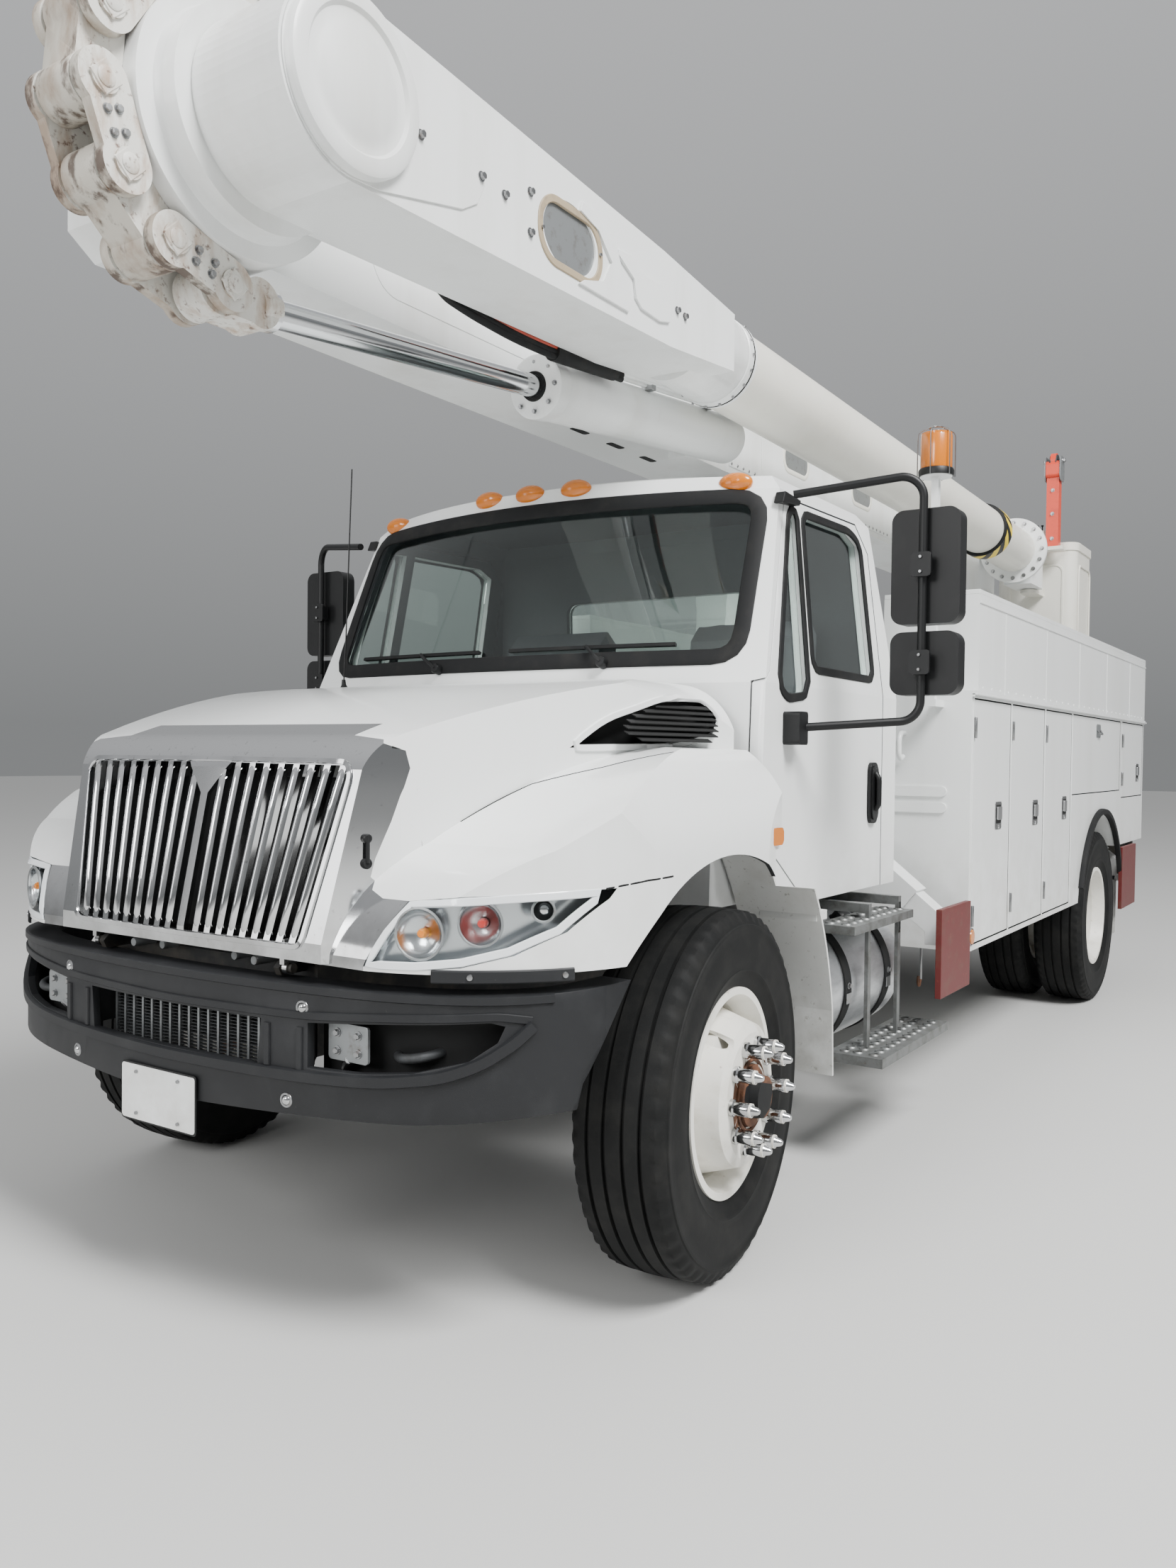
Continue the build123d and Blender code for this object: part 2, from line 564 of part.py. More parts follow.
# Mirrors: tube arms from the door's top and foot, a large head and a small one
MIRROR_X = -850.0
MIRROR_FOOT_X = -640.0
MIRROR_FOOT_Z = 1575.0
MIRROR_Y = 1395.0
MIRROR_ARM_R = 14.0
mirror_route = [
    (fwd(-700), 1000, 2360), (fwd(MIRROR_X), MIRROR_Y, 2415), (fwd(MIRROR_X), MIRROR_Y, MIRROR_FOOT_Z + 30),
    (fwd(MIRROR_FOOT_X), CAB_SIDE_Y, MIRROR_FOOT_Z),
]
with BuildPart() as door_mirror:
    with BuildLine():
        FilletPolyline(*mirror_route, radius=70)
    with BuildSketch(Plane(mirror_route[0], z_dir=Vector(*mirror_route[1]) - Vector(*mirror_route[0]))):
        Circle(MIRROR_ARM_R)
    sweep()
    for head_low, head_high in ((1925, 2305), (1690, 1900)):
        with BuildSketch(Plane.YZ.offset(fwd(MIRROR_X) - 25)):
            with Locations((MIRROR_Y, (head_low + head_high) / 2)):
                RectangleRounded(230, head_high - head_low, 40)
        extrude(amount=-70)
        with BuildSketch(Plane.YZ.offset(fwd(MIRROR_X) - 30)):
            with Locations((MIRROR_Y, (head_low + head_high) / 2)):
                Rectangle(40, 60)
        extrude(amount=40)
    with BuildSketch(side_plane(CAB_SIDE_Y + 60)):
        with Locations((fwd(MIRROR_FOOT_X), MIRROR_FOOT_Z)):
            RectangleRounded(70, 110, 12)
    extrude(amount=60 - SEAT_GAP)
mirror_trim = door_mirror.part - cab_form(-SEAT_GAP)
save_both_sides(mirror_trim.solids().sort_by(SortBy.VOLUME)[-1], "mirror")

# Cab interior: dashboard with its steering column and wheel, and two seats on their plinths
STEERING_Y = 480.0
with BuildPart() as dashboard:
    with BuildSketch(side_plane(900)):
        outline([
            (fwd(-525), 1300), (fwd(-525), 1690), (fwd(-700), 1690), (fwd(-790), 1600),
            (fwd(-760), 1380), (fwd(-640), 1300),
        ])
    extrude(amount=1800)
    column = Plane((fwd(-760), STEERING_Y, 1480), z_dir=(-0.8, 0, 0.6))
    with BuildSketch(column):
        Circle(38)
    extrude(amount=190)
    with Locations(column.offset(190)):
        Torus(225, 15)
    with BuildSketch(column.offset(175)):
        Circle(60)
        Rectangle(440, 40)
    extrude(amount=20)

SEAT_FOOT_Z = CAB_BOTTOM_Z + CAB_SKIN + SEAT_GAP
with BuildPart() as seats:
    for seat_y in (STEERING_Y, -STEERING_Y):
        with BuildSketch(side_plane(seat_y)):
            outline([
                (fwd(-1000), SEAT_FOOT_Z), (fwd(-1480), SEAT_FOOT_Z), (fwd(-1500), 1440),
                (fwd(-1540), 1980), (fwd(-1470), 2030), (fwd(-1400), 1960), (fwd(-1370), 1420),
                (fwd(-1000), 1370), (fwd(-940), 1330), (fwd(-960), 1260),
            ])
        extrude(amount=250, both=True)
dash_brackets = Part() + [block(-380, -560, y - 30, y + 30, 1400, 1600) for y in (-500, 0, 500)]
dash_brackets = dash_brackets & cab_form(CAB_SKIN + SEAT_GAP)
save(dashboard.part + dash_brackets + seats.part, "cab_interior")

# Fuel tank under the driver's door, strapped to the rail
TANK_RADIUS = 250.0
TANK_Y = 830.0
TANK_Z = 650.0
with BuildPart() as fuel_tank:
    with BuildSketch(Plane.YZ.offset(fwd(-1640))):
        with Locations((TANK_Y, TANK_Z)):
            Circle(TANK_RADIUS)
    extrude(amount=760)
    fillet(fuel_tank.edges().filter_by(GeomType.CIRCLE), 30)
    for strap_x in (-1050, -1460):
        with BuildSketch(Plane.YZ.offset(fwd(strap_x) - 30)):
            with Locations((TANK_Y, TANK_Z)):
                Circle(TANK_RADIUS + 6)
            with Locations(((TANK_Y + RAIL_OUTER_Y) / 2, TANK_Z + 80)):
                Rectangle(TANK_Y - RAIL_OUTER_Y - 2 * SEAT_GAP, 40)
        extrude(amount=60)
save(fuel_tank.part, "fuel_tank")

# Cab steps: two perforated treads a side on hangers that reach in to the rail
UPPER_STEP_Z = 862.0
LOWER_STEP_Z = 380.0
with BuildPart() as cab_steps:
    with BuildSketch(Plane.XY.offset(UPPER_STEP_Z)):
        with Locations((fwd(-1230), 1080)):
            Rectangle(620, 150)
    extrude(amount=30)
    with BuildSketch(Plane.XY.offset(LOWER_STEP_Z)):
        with Locations((fwd(-1420), 1115)):
            Rectangle(760, 208)
    extrude(amount=34)
    with BuildSketch(side_plane(1100)):
        with Locations((fwd(-1180), 660), (fwd(-1500), 660)):
            Rectangle(30, 2 * (945 - 660))
    extrude(amount=-14)
    with BuildSketch(side_plane(1110)):
        with Locations((fwd(-1180), 928), (fwd(-1500), 928)):
            Rectangle(30, 34)
    extrude(amount=1110 - RAIL_OUTER_Y - SEAT_GAP)
step_holes = Part() + [
    Pos(fwd(x), y, UPPER_STEP_Z) * Cylinder(13, 120)
    for x in range(-1500, -950, 60) for y in (1050, 1110)
]
step_holes_low = Part() + [
    Pos(fwd(x), y, LOWER_STEP_Z) * Cylinder(13, 120)
    for x in range(-1750, -1080, 60) for y in (1060, 1110, 1170)
]
steps_left = cab_steps.part - step_holes - step_holes_low
save(steps_left + mirror(steps_left, about=Plane.XZ), "cab_steps")

# Hood: the centre and two fenders, each cut from a side view, a plan and a front view
HOOD_REAR = -350.0
GRILLE_LOW_Z = 962.0
FENDER_LOW_Z = 958.0


def hood_centre(inset):
    """Centre of the hood, moved inwards by inset, closed below."""
    with BuildPart() as form:
        with BuildSketch(side_plane(0)):
            with BuildLine():
                rear = Line((fwd(HOOD_REAR - 100), GRILLE_LOW_Z), (fwd(HOOD_REAR - 100), 1737 - inset))
                top = ThreePointArc(rear @ 1, (fwd(230), 1668 - inset), (fwd(791 - inset), 1528 - inset))
                brow = ThreePointArc(top @ 1, (fwd(858 - inset), 1488), (fwd(893 - inset), 1436))
                nose = Line(brow @ 1, (fwd(985 - inset), 1010))
                chin = Line(nose @ 1, (fwd(985 - inset), GRILLE_LOW_Z))
                Line(chin @ 1, rear @ 0)
            make_face()
        extrude(amount=1100, both=True)
        with BuildSketch(Plane.XY.offset(900)):
            outline([
                (fwd(HOOD_REAR - 100), 952 - inset), (fwd(60), 845 - inset), (fwd(800), 618 - inset),
                (fwd(1010), 520 - inset), (fwd(1010), inset - 520), (fwd(800), inset - 618),
                (fwd(60), inset - 845), (fwd(HOOD_REAR - 100), inset - 952),
            ])
        extrude(amount=900, mode=Mode.INTERSECT)
        with BuildSketch(Plane.YZ.offset(fwd(HOOD_REAR - 200))):
            with BuildLine():
                crown = ThreePointArc((700 - inset, 1712 - inset), (0, 1740 - inset), (inset - 700, 1712 - inset))
                right = ThreePointArc(crown @ 1, (inset - 880, 1655 - inset), (inset - 952, 1520))
                low = Line(right @ 1, (inset - 952, 900))
                base = Line(low @ 1, (952 - inset, 900))
                left = Line(base @ 1, (952 - inset, 1520))
                ThreePointArc(left @ 1, (880 - inset, 1655 - inset), crown @ 0)
            make_face()
        extrude(amount=1700, mode=Mode.INTERSECT)
    return form.part


def hood_fenders(inset):
    """Both fenders joined across, moved inwards by inset, closed below."""
    with BuildPart() as form:
        with BuildSketch(side_plane(0)):
            with BuildLine():
                rear = Line((fwd(-410), FENDER_LOW_Z - 20), (fwd(-410), 1512 - inset))
                top = ThreePointArc(rear @ 1, (fwd(250), 1452 - inset), (fwd(720 - inset), 1250 - inset))
                brow = ThreePointArc(top @ 1, (fwd(880 - inset), 1140), (fwd(965 - inset), 985))
                chin = Line(brow @ 1, (fwd(968 - inset), FENDER_LOW_Z - 20))
                Line(chin @ 1, rear @ 0)
            make_face()
        extrude(amount=1200, both=True)
        with BuildSketch(Plane.XY.offset(900)):
            with BuildLine():
                run = Line((fwd(-410), 1106 - inset), (fwd(-230), FENDER_Y - inset))
                side = Line(run @ 1, (fwd(330), FENDER_Y - inset))
                corner = ThreePointArc(side @ 1, (fwd(720 - inset), 1040 - inset), (fwd(970 - inset), 640))
                front = Line(corner @ 1, (fwd(970 - inset), -640))
                far = ThreePointArc(front @ 1, (fwd(720 - inset), inset - 1040), (fwd(330), inset - FENDER_Y))
                far_side = Line(far @ 1, (fwd(-230), inset - FENDER_Y))
                far_run = Line(far_side @ 1, (fwd(-410), inset - 1106))
                Line(far_run @ 1, run @ 0)
            make_face()
        extrude(amount=800, mode=Mode.INTERSECT)
        with BuildSketch(Plane.YZ.offset(fwd(-500))):
            with BuildLine():
                flat = Line((0, 900), (FENDER_Y - inset, 900))
                wall = Line(flat @ 1, (FENDER_Y - inset, 1190))
                shoulder = ThreePointArc(wall @ 1, (1105 - inset, 1370 - inset), (985 - inset, 1500 - inset))
                deck = Line(shoulder @ 1, (0, 1560 - inset))
                far_deck = Line(deck @ 1, (inset - 985, 1500 - inset))
                far_shoulder = ThreePointArc(far_deck @ 1, (inset - 1105, 1370 - inset), (inset - FENDER_Y, 1190))
                far_wall = Line(far_shoulder @ 1, (inset - FENDER_Y, 900))
                Line(far_wall @ 1, flat @ 0)
            make_face()
        extrude(amount=1600, mode=Mode.INTERSECT)
    return form.part


HEADLIGHT_FACE = [
    (655, 968), (692, 1051), (734, 1124), (879, 1142), (1004, 1149), (1118, 1154), (1110, 1130),
    (1057, 1055), (976, 1003), (880, 975), (780, 966),
]
GRILLE_FACE = [
    (463, 1640), (463, 1523), (585, 1512), (622, 1485), (626, 1440), (621, 1393), (608, 1309), (590, 1215),
    (585, 1170), (600, 1140), (648, 1124), (734, 1124), (692, 1051), (655, 968), (655, 940),
]
VENT_SIDE = [(285, 1498), (150, 1585), (-60, 1640), (-280, 1652), (-318, 1600), (-290, 1545), (-100, 1518)]
GRILLE_HALF = [(14, 1000), (452, 1004), (533, 1425), (512, 1446), (85, 1449), (14, 1365)]


def front_prism(points, grow, x_low=500, x_high=1100):
    """Prism along X of a left-hand front outline, grown by grow."""
    with BuildPart() as prism:
        with BuildSketch(Plane.YZ.offset(fwd(x_low))):
            outline(points)
            if grow:
                offset(amount=grow, kind=Kind.INTERSECTION)
        extrude(amount=x_high - x_low)
    return prism.part


def both(part):
    """A left-hand tool and its mirror image."""
    return part + mirror(part, about=Plane.XZ)


hood_outer = hood_centre(0) + hood_fenders(0)
hood_inner = hood_centre(HOOD_SKIN) + hood_fenders(HOOD_SKIN)
with BuildPart() as hood_cuts:
    with BuildSketch(side_plane(1200)):
        with Locations((FRONT_AXLE_X + 10, AXLE_Z - 10)):
            Circle(ARCH_RADIUS)
        outline([(fwd(-450), 900), (fwd(-330), 900), (fwd(-330), 1195), (fwd(-450), 1195)])
    extrude(amount=560)
    with BuildSketch(side_plane(1000)):
        outline([(fwd(x), z) for x, z in VENT_SIDE])
    extrude(amount=300)
with BuildPart() as hood_gap:
    with BuildSketch(Plane.XY.offset(800)):
        with BuildLine():
            cab_line = ThreePointArc(
                (fwd(-430 + 12), CAB_SIDE_Y + 200), (fwd(-385 + 14), 0), (fwd(-430 + 12), -CAB_SIDE_Y - 200)
            )
            gap_right = Line(cab_line @ 1, (fwd(-700), -CAB_SIDE_Y - 200))
            gap_back = Line(gap_right @ 1, (fwd(-700), CAB_SIDE_Y + 200))
            Line(gap_back @ 1, cab_line @ 0)
        make_face()
    extrude(amount=1200)
below_hood = Pos(fwd(250), 0, FENDER_LOW_Z - 50) * Box(1600, 2400, 100)
hood_skin = hood_outer - hood_inner - both(hood_cuts.part) - hood_gap.part - below_hood
grille_zone = both(front_prism(GRILLE_FACE + [(0, 940), (0, 1640)], 0, 700, 1100))
headlight_zone = both(front_prism(HEADLIGHT_FACE, 0, 400, 1100))
hood_panel = hood_skin - grille_zone - headlight_zone
save(hood_panel, "hood")

# Grille: bright surround cut from the same skin, with leaning slats in two halves
surround = hood_skin & both(front_prism(GRILLE_FACE + [(0, 940), (0, 1640)], 0, 702, 1100))
surround = surround - both(front_prism(HEADLIGHT_FACE, 1, 400, 1100)) - both(front_prism(GRILLE_HALF, 0, 700, 1100))
nose_tilt = degrees(atan2(985 - 893, 1436 - 1010))
slats = Part() + [
    Plane((fwd(925), side * (58 + 51 * slat), 1226), x_dir=(0, 1, 0),
          z_dir=(cos(radians(nose_tilt)), 0, sin(radians(nose_tilt)))).location
    * Rot(0, 0, side * -1.25 * slat) * Box(22, 474, 18)
    for side in (1, -1) for slat in range(GRILLE_SLATS)
]
hinge_lugs = Part()
for side in (1, -1):
    lug_x = fwd(HINGE_X)
    lug = Pos(lug_x + 2, side * (HINGE_Y + 26), HINGE_Z + 43) * Box(44, 16, 64)
    lug += Pos(lug_x, side * (HINGE_Y + 26), HINGE_Z) * Rot(90, 0, 0) * Cylinder(HINGE_EYE_R, 16)
    hinge_lugs += lug - Pos(lug_x, side * (HINGE_Y + 26), HINGE_Z) * Rot(90, 0, 0) * Cylinder(
        HINGE_PIN_R + SHAFT_GAP, 60)
save(surround + slats + hinge_lugs, "grille")

# Headlights: clear lenses set in the corners of the hood
lamp_band = hood_outer - (hood_centre(60) + hood_fenders(60))
headlight = (lamp_band & front_prism(HEADLIGHT_FACE, -SEAT_GAP, 400, 1100)) - hood_centre(0)
save(headlight + mirror(headlight, about=Plane.XZ), "headlights")

# Splash flaps behind the front wheels
with BuildPart() as flaps:
    with BuildSketch(side_plane(1165)):
        with BuildLine():
            drop = ThreePointArc((fwd(-442), 1188), (fwd(-610), 930), (fwd(-700), 640))
            leg = Line(drop @ 1, (fwd(-712), 420))
            foot = Line(leg @ 1, (fwd(-722), 420))
            leg_back = Line(foot @ 1, (fwd(-710), 641))
            drop_back = ThreePointArc(leg_back @ 1, (fwd(-619), 934), (fwd(-450), 1194))
            Line(drop_back @ 1, drop @ 0)
        make_face()
    extrude(amount=300)
    with BuildSketch(side_plane(1150)):
        with Locations((fwd(-636), CAB_BOTTOM_Z - SEAT_GAP - 15)):
            Rectangle(90, 30)
    extrude(amount=200)
    with BuildSketch(side_plane(1170)):
        outline([(fwd(-380), 1060), (fwd(-560), 1060), (fwd(-560), 1200), (fwd(-380), 1200)])
    extrude(amount=140, mode=Mode.SUBTRACT)
save(flaps.part + mirror(flaps.part, about=Plane.XZ), "splash_flaps")

# Utility body: two hollow cabinets with boxes on top, a bay floor between them and a rear beam
# columns: name, front and rear (from axle), low, high
TALL_LOW = 685.0
TALL_HIGH = 1740.0
LEFT_CELLS = [
    ("tall_door_front_left", -2095, -2690, TALL_LOW, TALL_HIGH),
    ("tall_door_middle_left", -2712, -3352, TALL_LOW, TALL_HIGH),
    ("tall_door_rear_left", -3375, -3990, TALL_LOW, TALL_HIGH),
    ("hatch_left", REAR + 849, REAR - 586, 1285, TALL_HIGH),
    ("rear_door_left", REAR - 655, REAR - 1446, 1235, TALL_HIGH),
]
RIGHT_CELLS = [
    ("tall_door_front_right", -2095, -3020, TALL_LOW, TALL_HIGH),
    ("tall_door_rear_right", -3065, -3990, TALL_LOW, TALL_HIGH),
    ("hatch_right", REAR + 849, REAR - 586, 1285, TALL_HIGH),
    ("rear_door_right", REAR - 655, REAR - 1446, 1235, TALL_HIGH),
]
BODY_END = REAR - 1486
SKIRT_Z = 926.0
JAMB = 15.0
JAMB_FACE_Y = BODY_SIDE_Y - DOOR_THICK - SEAT_GAP
BOX_FRONT = -2170.0
WHEEL_REAR_CUT = REAR - 466
BOX_END = REAR - 1556
LID_THICK = 20.0


def cabinet(cells):
    """Left-hand cabinet with a hollow cell behind each door and an open box on top."""
    shell = block(BODY_FRONT, BODY_END, BAY_Y, BODY_SIDE_Y, BODY_LOW_Z, BODY_TOP_Z)
    shell += block(BODY_FRONT, BODY_END, BODY_SIDE_Y, BODY_SIDE_Y + 12, BODY_TOP_Z - 26, BODY_TOP_Z)
    shell += block(BOX_FRONT, BOX_END, BOX_INNER_Y, BODY_SIDE_Y - 6, BODY_TOP_Z, BOX_TOP_Z - LID_THICK)
    shell -= block(BOX_FRONT - BOX_WALL, BOX_END + BOX_WALL, BOX_INNER_Y + BOX_WALL,
                   BODY_SIDE_Y - 6 - BOX_WALL, BODY_TOP_Z + BOX_WALL, BOX_TOP_Z)
    shell -= Pos(REAR_AXLE_X, BODY_SIDE_Y, AXLE_Z) * Rot(90, 0, 0) * Cylinder(REAR_ARCH_RADIUS, 1400)
    shell -= block(WHEEL_REAR_CUT, BODY_END - 10, 0, 1400, BODY_LOW_Z - 10, SKIRT_Z)
    shell -= block(WHEEL_REAR_CUT - 60, BODY_END + 20, 0, JAMB_FACE_Y, SKIRT_Z - 10, 1210)
    for _, front, rear, low, high in cells:
        shell -= block(front, rear, BAY_Y + BODY_WALL, JAMB_FACE_Y - 12, low, high)
        shell -= block(front - JAMB, rear + JAMB, BAY_Y + BODY_WALL, JAMB_FACE_Y + 1, low + JAMB, high - JAMB)
        shell -= block(front, rear, JAMB_FACE_Y, BODY_SIDE_Y + 1, low, high)
    return shell


left_cabinet = cabinet(LEFT_CELLS)
right_cabinet = mirror(cabinet(RIGHT_CELLS), about=Plane.XZ)
BEACON = (-1960, 1080, 2690)
beacon_post = block(-1945, -1975, 1065, 1095, 1700, BEACON[2] - 30)
beacon_post += block(-1945, BODY_FRONT, 1060, 1100, 1700, 1730)
beacon_post += Pos(fwd(BEACON[0]), BEACON[1], BEACON[2] - 15 - SEAT_GAP) * Cylinder(66, 30)
save(left_cabinet + beacon_post, "body_left")
save(right_cabinet, "body_right")
for cells, about_right in ((LEFT_CELLS, False), (RIGHT_CELLS, True)):
    for name, front, rear, low, high in cells:
        panel = block(front - MOVING_GAP - 1, rear + MOVING_GAP + 1, BODY_SIDE_Y - DOOR_THICK, BODY_SIDE_Y,
                      low + MOVING_GAP, high - MOVING_GAP)
        save(mirror(panel, about=Plane.XZ) if about_right else panel, name)
box_lid = block(BOX_FRONT, BOX_END, BOX_INNER_Y, BODY_SIDE_Y - 6, BOX_TOP_Z - LID_THICK + SEAT_GAP, BOX_TOP_Z)
save_both_sides(box_lid, "box_lid")

# Bay floor on two sills, with the boom rest standing on it
REST_TOP_Z = BOOM_LOW_Z - MOVING_GAP
FLOOR_END = REAR - 916
bay_floor = block(BODY_FRONT, FLOOR_END, SEAT_GAP - BAY_Y, BAY_Y - SEAT_GAP, FLOOR_Z - 50, FLOOR_Z)
for sill_y in (RAIL_OUTER_Y - 75, 5 - RAIL_OUTER_Y):
    bay_floor += block(BODY_FRONT, FLOOR_END, sill_y, sill_y + 70, RAIL_TOP_Z + SEAT_GAP, FLOOR_Z - 50)
bay_floor += block(-2110, -2250, -130, 30, FLOOR_Z, REST_TOP_Z - 40)
bay_floor += block(-2100, -2260, -230, 130, REST_TOP_Z - 40, REST_TOP_Z)
bay_floor += block(-2080, -2300, -190, 90, FLOOR_Z, FLOOR_Z + 20)
save(bay_floor, "bay_floor")

# Outriggers: sloping box housings fore and aft, and four sliding legs with vertical shoes
LEG_SLOPE = 38.4
LEG_SIZE = 100.0
HOUSING_SIZE = 124.0
LEG_TRAVEL = 800.0
LEG_FOOT_Y = 1180.0
# columns: name, place of the leg (from axle), height of its foot, inner end, shoe front and rear, low, high
OUTRIGGERS = [
    ("front", -1870, 775, 150, -1600, -1990, 540, 890),
    ("rear", REAR - 1016, 715, 350, REAR - 586, REAR - 1086, 505, 912),
]


def along_leg(x, foot_z, y_low, y_high, size):
    """Square bar down the leg's slope between two values of y, measured on its centre line."""
    middle_y = (y_low + y_high) / 2
    middle_z = foot_z + (LEG_FOOT_Y - middle_y) * sin(radians(LEG_SLOPE)) / cos(radians(LEG_SLOPE))
    length = (y_high - y_low) / cos(radians(LEG_SLOPE))
    return Pos(fwd(x), middle_y, middle_z) * Rot(-LEG_SLOPE, 0, 0) * Box(size, length, size)


housings = Part()
for name, leg_x, foot_z, inner_y, shoe_front, shoe_rear, shoe_low, shoe_high in OUTRIGGERS:
    tube = along_leg(leg_x, foot_z, inner_y, 1040, HOUSING_SIZE)
    bore = along_leg(leg_x, foot_z, inner_y + 12, 1100, LEG_SIZE + 1)
    top_z = foot_z + (LEG_FOOT_Y - RAIL_OUTER_Y) * sin(radians(LEG_SLOPE)) / cos(radians(LEG_SLOPE))
    stand = block(leg_x + 62, leg_x - 62, 330, 430, RAIL_TOP_Z + SEAT_GAP, top_z) - along_leg(
        leg_x, foot_z, inner_y, 1040, HOUSING_SIZE - 2)
    left_housing = tube + stand - bore
    tie = block(leg_x + 62, leg_x - 62, -430, 430, RAIL_TOP_Z + SEAT_GAP, RAIL_TOP_Z + 60)
    housings += left_housing + mirror(left_housing, about=Plane.XZ) + tie
    leg = along_leg(leg_x, foot_z, inner_y + 20, LEG_FOOT_Y, LEG_SIZE)
    shoe = block(shoe_front, shoe_rear, BODY_SIDE_Y + 6, BODY_SIDE_Y + 30, shoe_low, shoe_high)
    ankle = block(leg_x + 50, leg_x - 50, 1110, BODY_SIDE_Y + 6, foot_z - 60, foot_z + 60)
    save_both_sides(leg + shoe + ankle, f"outrigger_{name}")
save(housings, "outrigger_housings")

# Pedestal on the bay floor, and the turntable with its two side plates and boom pin
PEDESTAL_R = 250.0
RING_R = 335.0
with BuildPart() as pedestal:
    with BuildSketch(Plane.XY.offset(FLOOR_Z + SEAT_GAP)):
        with Locations((TURN_X + 10, 0)):
            Rectangle(560, 760)
    extrude(amount=30)
    with BuildSketch(Plane.XY.offset(FLOOR_Z + 30)):
        with Locations((TURN_X, 0)):
            Circle(PEDESTAL_R)
    extrude(amount=TURNTABLE_Z - SEAT_GAP - FLOOR_Z - 30)
    with BuildSketch(Plane.XY.offset(TURNTABLE_Z - 50)):
        with Locations((TURN_X, 0)):
            Circle(RING_R)
    extrude(amount=50 - SEAT_GAP)
save(pedestal.part, "pedestal")

BOOM_LOW_Y = -240.0
BOOM_HIGH_Y = 140.0
PLATE_GAP = 10.0
PLATE_THICK = 40.0
PIVOT_PIN_R = 45.0
LIFT_BASE = (REAR - 386, 1850)
LIFT_ANGLE = 123.0
LIFT_REST = 918.0
LIFT_Y = -50.0
BARREL_LENGTH = 780.0
with BuildPart() as turntable:
    with BuildSketch(Plane.XY.offset(TURNTABLE_Z)):
        with Locations((TURN_X, 0)):
            Circle(RING_R)
    extrude(amount=90)
    for plate_y in (BOOM_LOW_Y - PLATE_GAP, BOOM_HIGH_Y + PLATE_GAP + PLATE_THICK):
        with BuildSketch(side_plane(plate_y)):
            outline([
                (fwd(REAR - 326), TURNTABLE_Z + 80), (fwd(REAR - 286), 1960), (fwd(REAR - 556), 2160), (fwd(REAR - 1256), 2730),
                (fwd(REAR - 1476), 2730), (fwd(REAR - 1526), 2620), (fwd(REAR - 1476), 2500), (fwd(REAR - 776), 1900),
                (fwd(REAR - 776), TURNTABLE_Z + 80),
            ])
        extrude(amount=PLATE_THICK)
    with BuildSketch(side_plane(BOOM_HIGH_Y + PLATE_GAP)):
        with Locations((fwd(REAR - 556), TURNTABLE_Z + 120)):
            Rectangle(440, 90)
        with Locations((fwd(REAR - 756), 1780)):
            Rectangle(40, 240)
        with Locations((LOWER_PIVOT_X, LOWER_PIVOT_Z)):
            Circle(PIVOT_PIN_R)
        with Locations((fwd(LIFT_BASE[0]), LIFT_BASE[1])):
            Circle(40)
    extrude(amount=BOOM_HIGH_Y - BOOM_LOW_Y + 2 * PLATE_GAP)
lift_plane = Plane((fwd(LIFT_BASE[0]), LIFT_Y, LIFT_BASE[1]),
                   z_dir=(cos(radians(LIFT_ANGLE)), 0, sin(radians(LIFT_ANGLE))))
ROD_R = 42.0
with BuildPart() as lift_barrel:
    with BuildSketch(lift_plane):
        Circle(75)
    extrude(amount=BARREL_LENGTH)
    with BuildSketch(lift_plane.offset(60)):
        Circle(ROD_R + SHAFT_GAP)
    extrude(amount=BARREL_LENGTH, mode=Mode.SUBTRACT)
save(turntable.part + lift_barrel.part, "turntable")

EYE_R = 62.0
with BuildPart() as lift_rod:
    with BuildSketch(lift_plane.offset(70)):
        Circle(ROD_R)
    extrude(amount=LIFT_REST - 70)
    with BuildSketch(side_plane(LIFT_Y + 40)):
        with Locations((lift_plane.origin.X + LIFT_REST * cos(radians(LIFT_ANGLE)),
                        lift_plane.origin.Z + LIFT_REST * sin(radians(LIFT_ANGLE)))):
            Circle(EYE_R)
    extrude(amount=80)
    with BuildSketch(side_plane(LIFT_Y + 40)):
        with Locations((lift_plane.origin.X + LIFT_REST * cos(radians(LIFT_ANGLE)),
                        lift_plane.origin.Z + LIFT_REST * sin(radians(LIFT_ANGLE)))):
            Circle(32)
    extrude(amount=80, mode=Mode.SUBTRACT)
save(lift_rod.part, "lift_rod")

